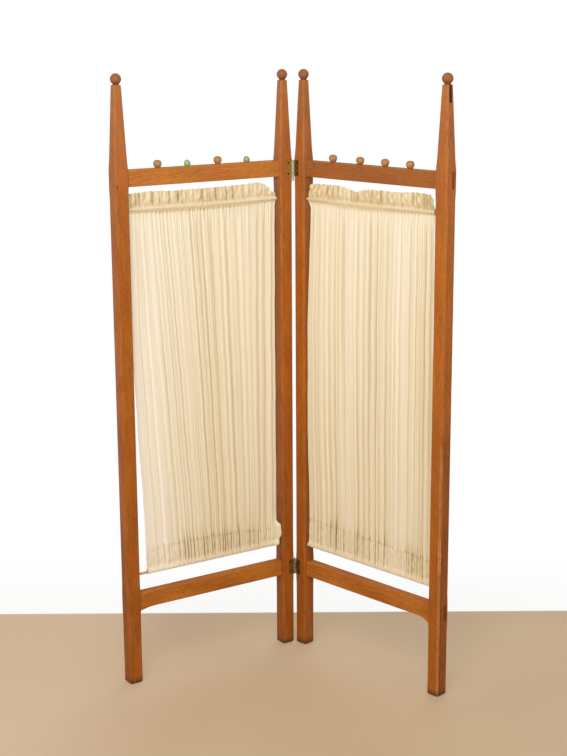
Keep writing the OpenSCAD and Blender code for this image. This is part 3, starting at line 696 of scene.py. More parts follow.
        above_rod = BOTTOM_ROD_Z + HEM_CLOSES + none
        edge = seam + HEM_EDGE
        leaf(edge, seam, 2, 1, SEWN_GAP)
        leaf(seam, above_rod, 8, 1, SEWN_GAP, HEM_SWELL, HEM_DOUBLED)
        over_rod(1)
        round_rod()
        over_rod(-1)
        leaf(above_rod, seam, 12, -1, SEWN_GAP, HEM_SWELL, HEM_DOUBLED)
        leaf(seam, edge, 3, -1, SEWN_GAP, doubled=HEM_DOUBLED)
        for start, end, count in ((edge, seam + 50, 8), (seam + 50, low - 40, 28), (low - 40, low, 9)):
            leaf(start, end, count, -1, SINGLE_GAP, doubled=0.0)
        past_rod(low, high, 10, -1)
        leaf(high, top - TOP_FOLD_START, 11, -1, SEWN_GAP, RUFFLE_SWELL)
        for lift, back in TOP_FOLD:
            rows.append((top + lift, back, none, 1.0))
        leaf(top - TOP_FOLD_START, high, 7, 1, SEWN_GAP, RUFFLE_SWELL)
        past_rod(high, low, 8, 1)
        leaf(low, low - CASING_EDGE, 2, 1, SEWN_GAP)
        return rows

    def surface(self, thread, z, behind, round_rod):
        """Places of one row of the sheet in the panel's own distances, with folds and the loose corner, and
        their painted shade."""
        push, shade = self.relief(thread, z)
        drop = (TOP_ROD_Z - z) / DROP
        fine, tiny = (self.ripples.at(band, thread, z) for band in (FINE, TINY))
        gather = np.clip(0.75 + 0.35 * fine + 0.3 * tiny, 0.2, 1.5)
        push = push * (1 - round_rod) + np.sign(behind) * gather * round_rod
        # Cloth wrapped round a rod takes painted shade of its own: the casing, its inner end, the hem's tucks
        # and streaks of the gathers
        casing = self.casing + self.casing_end * smooth(0.3, 0.05, thread)
        hem = 0.15 + 0.5 * self.tucked(thread) * smooth(BOTTOM_ROD_Z - 4, BOTTOM_ROD_Z + 7, z)
        dull = np.where(drop < 0.5, casing, hem) - self.streaks * (fine + tiny)
        shade = shade * (1 - round_rod) + dull * round_rod
        inner, outer = self.edge(self.inner, z), self.edge(self.outer, z)
        u = inner + (outer - inner) * self.hung(thread, z)
        v = self.rod_v + behind + push
        if self.side < 0:
            u, v, z = self.curl(u, v, z, behind)
        return u, v, z, shade

    def curl(self, u, v, z, behind):
        """The hem's inner end on the left curtain: its front leaf curls forward past the rod, most at its
        upper corner, which also lifts."""
        along = np.clip((CURL_START + CURL_REACH - u) / CURL_REACH, 0, 1)
        at_height = smooth(CURL_TOP + 6, CURL_TOP, z) * smooth(232, CURL_TOP - 2, z)
        curled = at_height * smooth(2.0, -1.5, behind + 0 * z)
        turn = along ** 1.6
        u = u - 7.0 * np.sin(turn * np.pi / 2) * curled
        v = v - (15.0 * turn + 1.5 * along) * curled
        lift = 4.6 * smooth(CURL_TOP - 27, CURL_TOP, z) - 1.6
        return np.maximum(u, CLEAR_U), np.maximum(v, CLEAR_V), z + lift * turn * curled

    def columns(self, count):
        """Threads for the mesh's columns, closer together where the cloth is tightly folded."""
        probe = np.linspace(0, 1, 4001)
        density = 1 + 0 * probe
        for marks, size in ((self.tucks, 0.9), (self.creases, 0.5), (self.main_folds, 0.5)):
            for mark in marks:
                density = density + size * mark[1] * np.exp(-((probe - mark[0]) / 0.007) ** 2)
        total = np.concatenate([[0], np.cumsum((density[1:] + density[:-1]) / 2)])
        return np.interp(np.linspace(0, total[-1], count), total, probe)

    def build(self):
        """The cloth as a mesh in the row frame, with its flat size in metres."""
        thread = self.columns(self.settings.columns + 1)
        rows = self.rows(thread)
        grid = np.zeros((len(rows), len(thread), 3))
        doubled, valley, thin = np.zeros((3, len(rows), len(thread)))
        seam = self.row_z("seam", thread)
        for index, (z, behind, round_rod, double) in enumerate(rows):
            u, v, height, shade = self.surface(thread, z, behind, round_rod)
            grid[index] = np.stack((u, v, height), axis=-1)
            doubled[index] = double
            sewn = np.exp(-((z - seam - 1.0) / 1.5) ** 2)
            # painted shade of the folds, puckers, rods and seam, 0 to 1
            valley[index] = np.clip(SHADE_GAIN * (shade + SEAM_SHADE * sewn), 0, 1)
            thin[index] = graph(self.thin, self.hung(thread, z)) * graph(self.thin_drop, z)
        across = np.linalg.norm(np.diff(grid, axis=1), axis=2).sum(axis=1)
        steps = np.linalg.norm(np.diff(grid, axis=0), axis=2).mean(axis=1)
        length = steps.sum()
        width = ((across[1:] + across[:-1]) / 2 * steps).sum() / length
        along = np.concatenate([[0], np.cumsum(steps)])
        flat = np.stack(np.broadcast_arrays(thread * width * MM, along[:, None] * MM), axis=-1)
        mesh = sheet_mesh(self.name + "_curtain_cloth", in_row(self.side, *np.moveaxis(grid, -1, 0)), flat,
                          {"doubled": doubled, "valley": valley, "thin": thin}, self.side < 0)
        return mesh, (width * MM, length * MM)

    def seam_lines(self):
        """Points along each row of stitches, on the front of the cloth, in metres."""
        thread = np.linspace(0.004, 0.996, 800)
        half = self.settings.cloth_thickness / MM / 2 + 0.1
        lines = []
        for row, lift in (("seam", 1.2), ("lower_row", 0.0), ("upper_row", 0.0)):
            u, v, z, _ = self.surface(thread, self.row_z(row, thread) + lift, -SEWN_GAP, 0 * thread)
            lines.append(in_row(self.side, u, v - half, z))
        return lines


def stitch_tree():
    """Geometry Nodes: thread stitches along the curves that go in."""
    tree, (curves, pitch, length, thickness, made), out = new_group(
        "Stitches", "GeometryNodeTree",
        {"Geometry": "Geometry", "Pitch": "Float", "Stitch Length": "Float", "Thread": "Float",
         "Material": "Material"},
        {"Geometry": "Geometry"})
    points = put(tree, "GeometryNodeCurveToPoints", {"Curve": curves, "Length": pitch}, mode="LENGTH")
    bead = put(tree, "GeometryNodeMeshUVSphere", {"Segments": 6, "Rings": 4, "Radius": 0.5})
    size = put(tree, "ShaderNodeCombineXYZ", {"X": thickness, "Y": thickness, "Z": length})
    copies = put(tree, "GeometryNodeInstanceOnPoints", {
        "Points": points.outputs["Points"], "Instance": bead.outputs["Mesh"],
        "Rotation": points.outputs["Rotation"], "Scale": size.outputs[0]})
    real = put(tree, "GeometryNodeRealizeInstances", {"Geometry": copies.outputs[0]})
    coloured = put(tree, "GeometryNodeSetMaterial", {"Geometry": real.outputs[0], "Material": made})
    fill(tree, out.inputs[0], coloured.outputs[0])
    return tree


def shown(name, data):
    """A new object in the scene, at the origin of the row frame."""
    piece = bpy.data.objects.new(name, data)
    bpy.context.scene.collection.objects.link(piece)
    return piece


def plain_mesh(piece):
    """A piece's mesh with its modifiers made part of it."""
    depsgraph = bpy.context.evaluated_depsgraph_get()
    return bpy.data.meshes.new_from_object(piece.evaluated_get(depsgraph))


def run_nodes(name, lines, tree, inputs):
    """Runs a Geometry Nodes tree along lines of points and returns the result as a plain mesh piece."""
    curve = bpy.data.curves.new(name + "_path", "CURVE")
    curve.dimensions = "3D"
    for line in lines:
        spline = curve.splines.new("POLY")
        spline.points.add(len(line) - 1)
        spline.points.foreach_set("co", np.hstack([line, np.ones((len(line), 1))]).ravel())
    guide = shown(name + "_guide", curve)
    modifier = guide.modifiers.new("Stitches", "NODES")
    modifier.node_group = tree
    for item in tree.interface.items_tree:
        if item.in_out == "INPUT" and item.name in inputs:
            modifier[item.identifier] = inputs[item.name]
    mesh = plain_mesh(guide)
    mesh.name = name
    bpy.data.objects.remove(guide)
    mesh.polygons.foreach_set("use_smooth", [True] * len(mesh.polygons))
    return shown(name, mesh)


def cotton_material(settings):
    """Thin striped cotton: a plain weave with openwork bands, tan where it is doubled, with painted shade in
    the folds and towards the bottom.
    """
    made, tree = material("Curtain cotton")
    uv = Value(put(tree, "ShaderNodeUVMap", uv_map="Cloth").outputs[0])
    across, along, _ = split(uv)
    doubled, valley, thin = (
        Value(put(tree, "ShaderNodeAttribute", attribute_name=name, attribute_type="GEOMETRY").outputs["Fac"])
        for name in ("doubled", "valley", "thin"))
    stripe = sums("FRACT", across / settings.stripe_pitch)
    rung = sums("FRACT", along / settings.rung_pitch)
    band = remap(stripe, 0.10, 0.16) * remap(stripe, 0.44, 0.38)
    ladder = band * (remap(rung, 0.08, 0.25) * remap(rung, 0.62, 0.45))
    line = remap(stripe, 0.66, 0.70) * remap(stripe, 0.80, 0.76)
    threads = 2 * math.pi / settings.thread_pitch
    weave = sums("SINE", across * threads) * sums("SINE", along * threads)
    slub = noise(uv, 900.0, stretch=(1, 0.03, 1))
    place = coordinates(tree)
    # painted shade: the cloth darker towards the bottom, as the light falls off downwards
    low_shade = remap(split(place)[2], 1.05, 0.25, soft=False)
    openwork, double, deep = map(from_screen, (settings.stripe, settings.double, settings.valley))
    colour = layered(
        # painted shade in the folds, darkest in the narrowest creases
        mixed(valley, from_screen(settings.ridge), deep),
        (remap(valley, 0.55, 1.0, 0.0, 0.65), linear(116, 88, 48)),
        (0.55 * ladder, openwork),
        (0.5 * line, linear(255, 251, 240)),
        (0.5 * doubled, double),
        (0.22 * slub, openwork),
        (0.10 * noise(place, 9.0), double),
        (0.22 * low_shade, deep),
        (0.8 * thin, from_screen(settings.thin)))
    height = 0.35 * weave + 0.8 * ladder + 0.5 * line + 0.8 * slub
    finish_surface(tree, colour, 0.1 * slub + 0.82, height, 0.00012,
                   {"Specular IOR Level": 0.2, "Sheen Weight": 0.12, "Sheen Roughness": 0.5})
    return made


# Settings

def screen_colour(label, about, red, green, blue):
    """A colour property, given as it looks on a screen."""
    return FloatVectorProperty(name=label, description=about, subtype="COLOR_GAMMA", size=3, min=0, max=1,
                               default=(red / 255, green / 255, blue / 255))


def metres(label, about, default, low, high):
    """A length property, in metres."""
    return FloatProperty(name=label, description=about, unit="LENGTH", default=default, min=low, max=high)


def amount(label, about, default, high=1):
    """A property that starts at zero: a share, or a number up to high."""
    return FloatProperty(name=label, description=about, subtype="FACTOR" if high == 1 else "NONE",
                         default=default, min=0, max=high)


class OakSettings(bpy.types.PropertyGroup):
    """Colours of the oak."""
    post_pale: screen_colour("Post, pale", "Late wood of the posts", 194, 110, 17)
    post_deep: screen_colour("Post, deep", "Early wood of the posts", 135, 65, 3)
    rail_pale: screen_colour("Rail, pale", "Late wood of the rails", 212, 132, 38)
    rail_deep: screen_colour("Rail, deep", "Early wood of the rails", 155, 79, 6)
    pore: screen_colour("Pores", "Open pores and dirt in the grain", 78, 36, 12)
    ring: metres("Ring spacing", "Distance between growth rings", 0.0040, 0.001, 0.02)
    wear: amount("Edge wear", "How far the edges are rubbed pale", 0.35)
    soil: amount("Soil", "How dark the feet have grown", 0.38)


class TurnedSettings(bpy.types.PropertyGroup):
    """Colours of the finials, knobs, beads and rods."""
    finial_pale: screen_colour("Finials, pale", "Pale wood of the finials", 180, 112, 66)
    finial_deep: screen_colour("Finials, deep", "Deep wood of the finials", 124, 71, 40)
    finial_pore: screen_colour("Finials, pores", "Pores and dirt of the finials", 56, 30, 18)
    knob_pale: screen_colour("Knobs, pale", "Pale wood of the knobs", 214, 156, 95)
    knob_deep: screen_colour("Knobs, deep", "Deep wood of the knobs", 163, 108, 58)
    knob_pore: screen_colour("Knobs, pores", "Pores and dirt of the knobs", 78, 44, 22)
    bead_1: screen_colour("Bead by the hinge", "Glass of the bead by the hinge", 136, 142, 94)
    bead_3: screen_colour("Other bead", "Glass of the other bead", 122, 171, 94)
    rod_pale: screen_colour("Rods, pale", "Pale wood of the rods", 236, 190, 122)
    rod_deep: screen_colour("Rods, deep", "Fibres of the rods", 196, 144, 84)


class BrassSettings(bpy.types.PropertyGroup):
    """Colours of the brass, with painted light on the left leaves and painted shade on the right ones, and of
    the hinge pins.
    """
    # Painted light: the left leaves' brass, paler as if lit
    bright: screen_colour("Bright brass", "Rubbed brass of the left leaves", 206, 172, 84)
    # Painted shade: the right leaves' brass, darker as if in shade; the lower hinge's tarnish also mixes
    # towards it
    tarnished: screen_colour("Tarnished brass", "Olive brass of the right leaves", 122, 102, 48)
    grime: screen_colour("Grime", "Dirt in corners and pits of the brass", 58, 44, 22)
    # Painted highlight: the pale, silvery colour of the knuckles
    knuckle_highlight: screen_colour("Barrel", "Metal rubbed bare on the knuckles", 214, 206, 182)
    screw: screen_colour("Screws", "Rusty heads of the screws", 62, 38, 18)
    pin: screen_colour("Pin", "Steel of the hinge pins", 120, 112, 98)


class CurtainSettings(bpy.types.PropertyGroup):
    """Sizes and colours of the curtains."""
    columns: IntProperty(name="Columns", description="Faces across a curtain", default=370, min=60, max=400)
    cloth_thickness: metres("Cloth", "Thickness of the cloth", 0.0005, 0.0002, 0.001)
    fold_depth: metres("Fold depth", "Depth of the main folds to either side", 0.0034, 0.001, 0.0045)
    stripe_pitch: metres("Stripe pitch", "Distance between stripes in the flat cloth", 0.0058, 0.004, 0.05)
    rung_pitch: metres("Rung pitch", "Distance between rungs of the openwork", 0.0042, 0.001, 0.02)
    thread_pitch: metres("Thread pitch", "Distance between threads of the weave", 0.0009, 0.0003, 0.003)
    stitch_pitch: metres("Stitch pitch", "Distance from stitch to stitch", 0.0032, 0.001, 0.01)
    stitch_length: metres("Stitch length", "Length of a stitch", 0.0024, 0.001, 0.01)
    thread: metres("Thread", "Thickness of the sewing thread", 0.00045, 0.0002, 0.001)
    ridge: screen_colour("Ridges", "Cloth on the folds' ridges", 247, 240, 220)
    # Painted shade: the cloth's colour deep in the folds
    valley: screen_colour("Valleys", "Cloth deep in the folds", 187, 155, 80)
    thin: screen_colour("Thin cloth", "Loosely gathered cloth that light comes through", 250, 243, 228)
    double: screen_colour("Doubled cloth", "Cloth where it is doubled", 226, 206, 162)
    stripe: screen_colour("Stripe", "Openwork of the stripes", 222, 204, 164)
    stitch: screen_colour("Stitches", "Sewing thread", 226, 208, 170)


class StageSettings(bpy.types.PropertyGroup):
    """Camera, floor and lamps."""
    lens: FloatProperty(name="Lens", description="Focal length in millimetres",
                        default=72.19, min=20, max=200)
    camera: FloatVectorProperty(name="Camera", description="Place of the camera", subtype="TRANSLATION",
                                unit="LENGTH", default=(0.3599, -3.3658, 1.5))
    floor: screen_colour("Floor", "Pale floor", 204, 179, 149)
    key_power: amount("Key lamp", "Power of the main lamp in watts", 62.5, 500)
    fill_power: amount("Fill lamp", "Power of each fill lamp in watts", 13.0, 500)
    sky: amount("Sky", "Light from all round", 0.42, 2)


# Stage

# The camera looks along this line across the floor, and is tilted down and rolled by these angles
VIEW = (-0.10941, 0.99400, 0.0)
TILT = math.radians(13.24)
ROLL = math.radians(-0.35)
# The floor fades into the white wall over this stretch of the view, in metres beyond the row's middle
FLOOR_END = (0.318, 0.326)
WARM_LIGHT = (1.0, 0.98, 0.95)


def sees_studio(tree):
    """1 for rays from the camera and off or through glossy things, which see the studio at full
    brightness."""
    rays = put(tree, "ShaderNodeLightPath")
    camera, glossy, through = (Value(rays.outputs[f"Is {kind} Ray"])
                               for kind in ("Camera", "Glossy", "Transmission"))
    return sums("MAXIMUM", camera, sums("MAXIMUM", glossy, through))


class SCREEN_OT_stage(bpy.types.Operator):
    """Set up the camera, the pale floor and the soft lamps"""
    bl_idname = "screen.stage"
    bl_label = "Studio"

    def execute(self, context):
        settings = context.scene.screen_stage
        self.camera(context, settings)
        self.floor(settings)
        self.lamps(settings)
        self.sky(context, settings)
        return {"FINISHED"}

    def camera(self, context, settings):
        """The photograph's camera."""
        data = bpy.data.cameras.new("Camera")
        data.lens = settings.lens
        data.sensor_width = 36
        camera = shown("Camera", data)
        camera.location = settings.camera
        look = Vector((VIEW[0] * math.cos(TILT), VIEW[1] * math.cos(TILT), -math.sin(TILT)))
        turn = look.to_track_quat("-Z", "Y").to_matrix()
        camera.rotation_euler = (turn @ Matrix.Rotation(ROLL, 3, "Z")).to_euler()
        context.scene.camera = camera

    def floor(self, settings):
        """A pale floor that takes shadows, with a painted pool of light to the left, and glows white like the
        wall from its far end on; nearer, a painted glow in its own colour lightens the shadows.
        """
        mesh = bpy.data.meshes.new("floor")
        mesh.from_pydata([(-9, -9, 0), (9, -9, 0), (9, 9, 0), (-9, 9, 0)], [], [(0, 1, 2, 3)])
        made, tree = material("Pale floor")
        place = coordinates(tree)
        depth = vectors("DOT_PRODUCT", place, VIEW, output=1)
        behind = remap(depth, *FLOOR_END)
        ground = layered(
            from_screen(settings.floor),
            (remap(noise(place, 1.3), 0.3, 0.7), linear(198, 171, 139)),
            # painted light: the floor paler to the left, where more light falls
            (remap(split(place)[0], -0.15, -0.6), linear(213, 186, 157)))
        matt = put(tree, "ShaderNodeBsdfPrincipled", {
            "Base Color": mixed(behind, ground, linear(252, 248, 243)), "Roughness": 0.7,
            "Specular IOR Level": 0.2})
        glow = get("ShaderNodeEmission", {"Color": mixed(behind, ground, (1, 1, 1, 1)), "Strength": 1.0})
        # Painted light: the near floor glows with a share of its own colour for the camera, which lightens
        # the shadows on it
        share = behind * remap(depth, 0.33, 0.8, 0.85, 1.0) + (1.0 - behind) * 0.4
        both = get("ShaderNodeMixShader", {0: sees_studio(tree) * share, 1: matt.outputs[0], 2: glow})
        put(tree, "ShaderNodeOutputMaterial", {"Surface": both})
        mesh.materials.append(made)
        shown("floor", mesh)

    def lamps(self, settings):
        """A large soft key lamp, a fill lamp on either side and one behind."""
        for name, place, aim, size, power, tint in (
            ("Key", (-0.12, -2.7, 2.6), (0, 0, 0.9), 1.9, settings.key_power, (1.0, 0.965, 0.91)),
            ("Right fill", (1.9, -2.6, 1.9), (0, 0, 0.8), 2.0, settings.fill_power, WARM_LIGHT),
            ("Left fill", (-1.9, -2.6, 1.9), (0, 0, 0.8), 2.0, settings.fill_power, WARM_LIGHT),
            ("Back", (0.4, 2.6, 2.4), (0, 0, 0.7), 2.4, 2 * settings.fill_power, WARM_LIGHT),
        ):
            data = bpy.data.lights.new(name, "AREA")
            data.shape, data.size, data.energy, data.color = "DISK", size, power, tint
            lamp = shown(name, data)
            lamp.location = place
            lamp.rotation_euler = (Vector(aim) - Vector(place)).to_track_quat("-Z", "Y").to_euler()

    def sky(self, context, settings):
        """Soft light from all round, in front of a white wall."""
        world = bpy.data.worlds.new("Studio")
        context.scene.world = world
        world.use_nodes = True
        tree = world.node_tree
        tree.nodes.clear()
        soft = put(tree, "ShaderNodeBackground", {"Color": (1, 0.985, 0.96, 1), "Strength": settings.sky})
        white = put(tree, "ShaderNodeBackground", {"Color": (1, 1, 1, 1), "Strength": 1.0})
        both = get("ShaderNodeMixShader", {0: sees_studio(tree), 1: soft.outputs[0], 2: white.outputs[0]})
        put(tree, "ShaderNodeOutputWorld", {"Surface": both})


# Wood, brass and cloth

# How much darker a member's oak is than usual, as a share of the way from its pale tone to its deep one
OAK_DARKNESS = {
    "left_outer_post": -0.08, "left_inner_post": -0.05, "right_inner_post": -0.08, "right_outer_post": -0.18,
    "left_top_rail": -0.22, "right_top_rail": 0.66, "left_bottom_rail": -0.22, "right_bottom_rail": -0.2,
}
# Each member's axis along its panel and its height, where it is a rail
OAK_MEMBERS = {
    "outer_post": (OUTER_POST_U, None), "inner_post": (INNER_POST_U, None),
    "top_rail": (RAIL_MIDDLE_U, TOP_RAIL_Z), "bottom_rail": (RAIL_MIDDLE_U, BOTTOM_RAIL_Z),
}
# Marks on the right outer post, from its axis at the floor: painted shade in the slot in its spire and in
# both old hinge recesses, painted shade in patches on the outer face of its leg, the dirt beside the leg's
# front corner, and the rubbed corner itself
RIGHT_POST_STAINS_AND_SHADE = (
    ((0.0090, -0.001, 1.352), (0.0050, 0.0046, 0.0200), 0.88, 0.0),
    ((0.0165, 0.005, 1.1705), (0.0022, 0.0043, 0.0190), 0.6, 0.0),
    ((0.0165, 0.005, 0.1987), (0.0022, 0.0043, 0.0190), 0.6, 0.0),
    ((0.0180, 0.000, 0.200), (0.0046, 0.0200, 0.4200), 0.35, 0.4),
    ((0.0172, -0.0098, 0.150), (0.0020, 0.0026, 0.2300), 0.55, 0.7),
    ((0.0144, -0.0152, 0.300), (0.0026, 0.0026, 0.3000), -0.24, 0.7),
    ((0.0136, -0.0150, 0.335), (0.0034, 0.0028, 0.0450), -0.4, 0.8),
)
# The inner posts' faces beside the curtains are painted darker, for the shade that falls there
INNER_POST_SHADE = ((0.0168, 0.0, 0.680), (0.0012, 0.0200, 0.4700), 0.28, 0.3)
# The heights, in metres, at which the posts cut into the pattern of the grain, so that no two look alike, and
# how far the rails' grain slants
GRAIN_START = 0.37
GRAIN_STEP = 0.83
GRAIN_SLANT = 0.05
# Distance between the lathe's lines on turned wood, and how far from the pin's axis the knuckles carry a
# painted highlight
LATHE_PITCH = 0.0007
KNUCKLE_HIGHLIGHT = (0.0032, 0.0028)


class SCREEN_OT_oak(bpy.types.Operator):
    """Give the posts and rails waxed oak with the grain along each member"""
    bl_idname = "screen.oak"
    bl_label = "Oak Frames"

    def execute(self, context):
        settings = context.scene.screen_oak
        group = oak_group()
        for number, (side_name, side) in enumerate(SIDES.items()):
            for order, (part, (u, rail_z)) in enumerate(OAK_MEMBERS.items()):
                node = f"{side_name}_{part}"
                x, y, _ = in_row(side, u, MID_V, 0.0)
                if rail_z:
                    origin = (x, y, rail_z * MM)
                    turn = (0.0, math.pi / 2 - GRAIN_SLANT, -side * LEAN)
                    pale, deep, fleck = settings.rail_pale, settings.rail_deep, 0.35
                else:
                    origin = (x, y, GRAIN_START + GRAIN_STEP * (order + 2 * number))
                    turn = (0.0, 0.0, -side * LEAN)
                    pale, deep, fleck = settings.post_pale, settings.post_deep, 0.55
                darkness = OAK_DARKNESS[node]
                rubbed = node == "right_outer_post"
                give(node, oak_material(
                    "Oak " + node.replace("_", " "), group, origin, turn, self.stains_and_shade(side, node), {
                        "Pale": from_screen(mixed(darkness, pale, deep)),
                        "Deep": from_screen([channel * (1 - 0.3 * darkness) for channel in deep]),
                        "Pore": from_screen(settings.pore), "Fleck": fleck,
                        "Wear": 1.0 if rubbed else settings.wear,
                        "Soil": 0.46 * settings.soil if rubbed else settings.soil,
                        "Ring Spacing": settings.ring * (1 + 0.12 * (order - 1.5))}))
        return {"FINISHED"}

    def stains_and_shade(self, side, node):
        """Boxes of stain and painted shade of a member, on its own axes: x runs away from the hinge on the
        right panel.
        """
        if node == "right_outer_post":
            return RIGHT_POST_STAINS_AND_SHADE
        if "inner_post" in node:
            (x, y, z), *rest = INNER_POST_SHADE
            return [((side * x, y, z), *rest)]
        return ()


class SCREEN_OT_turned(bpy.types.Operator):
    """Give the finials, knobs and beads their turned and glossy finishes"""
    bl_idname = "screen.turned"
    bl_label = "Finials and Knobs"

    def execute(self, context):
        settings = context.scene.screen_turned
        finial, knob = (
            [from_screen(getattr(settings, f"{part}_{tone}")) for tone in ("pale", "deep", "pore")]
            for part in ("finial", "knob"))
        beads = {"left_knob_1": from_screen(settings.bead_1), "left_knob_3": from_screen(settings.bead_3)}
        for side_name, side in SIDES.items():
            for part, u in (("outer_finial", OUTER_POST_U), ("inner_finial", INNER_POST_U)):
                node = f"{side_name}_{part}"
                give(node, self.turned(node, in_row(side, u, MID_V, FINIAL_Z), FINIAL_R * MM, *finial))
            for number in range(1, 5):
                node = f"{side_name}_knob_{number}"
                low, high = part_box(node)
                centre = ((low[0] + high[0]) / 2, (low[1] + high[1]) / 2, high[2] - KNOB_R * MM)
                if node in beads:
                    give(node, self.bead(node, centre, beads[node]))
                else:
                    give(node, self.turned(node, centre, KNOB_R * MM, *knob))
        return {"FINISHED"}

    def turned(self, node, centre, radius, pale, deep, pore):
        """Turned wood: grain across the ball, fine lathe lines round it and rubbed dirt near the foot."""
        made, tree = material("Turned " + node.replace("_", " "))
        local = own_axes(tree, centre, (0.35, 0.2, 0.7))
        grain = noise(local, 620.0, 4.0, 0.65, stretch=(1, 0.16, 1))
        ring = get("ShaderNodeTexWave", {"Vector": local, "Scale": 120.0, "Distortion": 3.0, "Detail": 2.0,
                                         "Detail Scale": 1.5}, "Fac", wave_type="BANDS", bands_direction="X")
        pores = remap(noise(local, 1700.0, 1.0, stretch=(1, 0.12, 1)), 0.58, 0.68)
        axis = own_axes(tree, centre, (0.0, 0.0, 0.0))
        height = split(axis)[2]
        lathe = sums("SINE", height * (2 * math.pi / LATHE_PITCH))
        tone = sums("MULTIPLY_ADD", grain, 0.75, 0.35 * ring, clamp=True)
        colour = layered(
            mixed(tone, pale, deep),
            (0.5 * pores, pore),
            (0.55 * remap(height, -0.45 * radius, -1.15 * radius), pore),
            (0.25 * remap(noise(axis, 210.0, 3.0, 0.7), 0.46, 0.66), pale),
            (0.45 * remap(height, 0.35 * radius, radius), pore))
        finish_surface(tree, colour, 0.25 * grain + 0.36, 0.18 * lathe - 0.8 * pores, 0.00014,
                       {"Specular IOR Level": 0.25})
        return made

    def bead(self, node, centre, base):
        """Glossy milky green glass with paler swirls and a few scuffs."""
        made, tree = material("Green bead " + node[-1])
        local = own_axes(tree, centre, (0.4, 0.9, 0.0))
        swirl = noise(local, 210.0, 3.0, 0.5, 1.6, stretch=(1, 1, 0.35))
        speck = remap(noise(local, 900.0), 0.62, 0.72)
        colour = layered(
            base,
            (remap(swirl, 0.35, 0.7), mixed(0.3, base, linear(222, 240, 205))),
            (0.3 * speck, linear(58, 84, 60)))
        finish_surface(tree, colour, 0.3 * speck + 0.14, swirl, 0.0001,
                       {"Specular IOR Level": 0.5, "Coat Weight": 0.4, "Coat Roughness": 0.08})
        return made


class SCREEN_OT_hinges(bpy.types.Operator):
    """Give the hinges brass, with painted light on the left leaves and painted shade on the right ones, and
    the pins dull steel
    """
    bl_idname = "screen.hinges"
    bl_label = "Hinges"

    def execute(self, context):
        settings = context.scene.screen_brass
        grime = from_screen(settings.grime)
        pin = self.metal("Hinge pin steel", from_screen(settings.pin), grime, 0.38, 0.5)
        rust = self.metal("Screw heads", from_screen(settings.screw), grime, 0.55, 0.6)
        for hinge, tarnish in (("upper_hinge", 0.0), ("lower_hinge", 0.45)):
            # lit and shaded copies of the brass, with a painted highlight on the knuckles; the lower hinge is
            # also tarnished
            bright, dull, knuckle_highlight = (from_screen(mixed(tarnish, colour, settings.tarnished))
                                    for colour in (settings.bright, settings.tarnished, settings.knuckle_highlight))
            bright = self.metal(f"Bright brass, {hinge}", bright, grime, 0.34, 0.5 + 0.4 * tarnish, knuckle_highlight)
            dull = self.metal(f"Tarnished brass, {hinge}", dull, grime, 0.42, 0.7 + 0.4 * tarnish, knuckle_highlight)
            for part, made in (("left_leaf", bright), ("left_screws", rust), ("right_leaf", dull),
                               ("right_screws", rust), ("pin", pin)):
                give(f"{hinge}_{part}", made)
        return {"FINISHED"}

    def metal(self, name, base, grime, roughness, patina, knuckle_highlight=None):
        """Worn metal: rubbing lines, dark patina in spots and, on a leaf, a painted highlight along the
        knuckles.
        """
        made, tree = material(name)
        place = coordinates(tree)
        spots = remap(noise(place, 420.0, 4.0, 0.65), 0.46, 0.66)
        lines = noise(place, 2600.0, 2.0, 0.6, stretch=(1, 1, 0.04))
        pits = remap(noise(place, 2300.0, 1.0), 0.62, 0.72)
        if knuckle_highlight is not None:
            # painted highlight: the knuckles near the pin's axis turn pale and silvery
            off_axis = vectors("MULTIPLY", vectors("SUBTRACT", place, (0.0, PIN_Y, 0.0)), (1, 1, 0))
            base = mixed(remap(vectors("LENGTH", off_axis, output=1), *KNUCKLE_HIGHLIGHT), base, knuckle_highlight)
        colour = layered(base, (patina * spots, grime), (0.25 * lines, mixed(0.5, base, grime)))
        soft = put(tree, "ShaderNodeBevel", {"Radius": 0.0003}, samples=4)
        roughness = 0.25 * spots + roughness + 0.12 * lines
        finish_surface(tree, colour, roughness, 0.5 * lines - 0.7 * pits, 0.00006,
                       {"Metallic": 1.0}, Normal=soft.outputs[0])
        return made


class SCREEN_OT_rods(bpy.types.Operator):
    """Give the curtain rods raw dowel wood"""
    bl_idname = "screen.rods"
    bl_label = "Curtain Rods"

    def execute(self, context):
        settings = context.scene.screen_turned
        for side_name, side in SIDES.items():
            for part, z in (("top_rod", TOP_ROD_Z), ("bottom_rod", BOTTOM_ROD_Z)):
                node = f"{side_name}_{part}"
                made, tree = material("Dowel " + node.replace("_", " "))
                middle = in_row(side, RAIL_MIDDLE_U, MID_V, z)
                local = own_axes(tree, middle, (0.0, math.pi / 2, -side * LEAN))
                fibre = noise(local, 1300.0, 3.0, 0.65, stretch=(1, 1, 0.03))
                band = noise(local, 160.0, stretch=(1, 1, 0.1))
                speck = remap(noise(local, 2100.0, 1.0, stretch=(1, 1, 0.1)), 0.6, 0.7)
                colour = layered(
                    from_screen(settings.rod_pale),
                    (remap(fibre, 0.3, 0.7), from_screen(settings.rod_deep)),
                    (0.3 * band, linear(150, 106, 62)),
                    (0.4 * speck, linear(112, 74, 42)))
                finish_surface(tree, colour, 0.2 * fibre + 0.5, fibre, 0.00012, {"Specular IOR Level": 0.3})
                give(node, made)
        return {"FINISHED"}


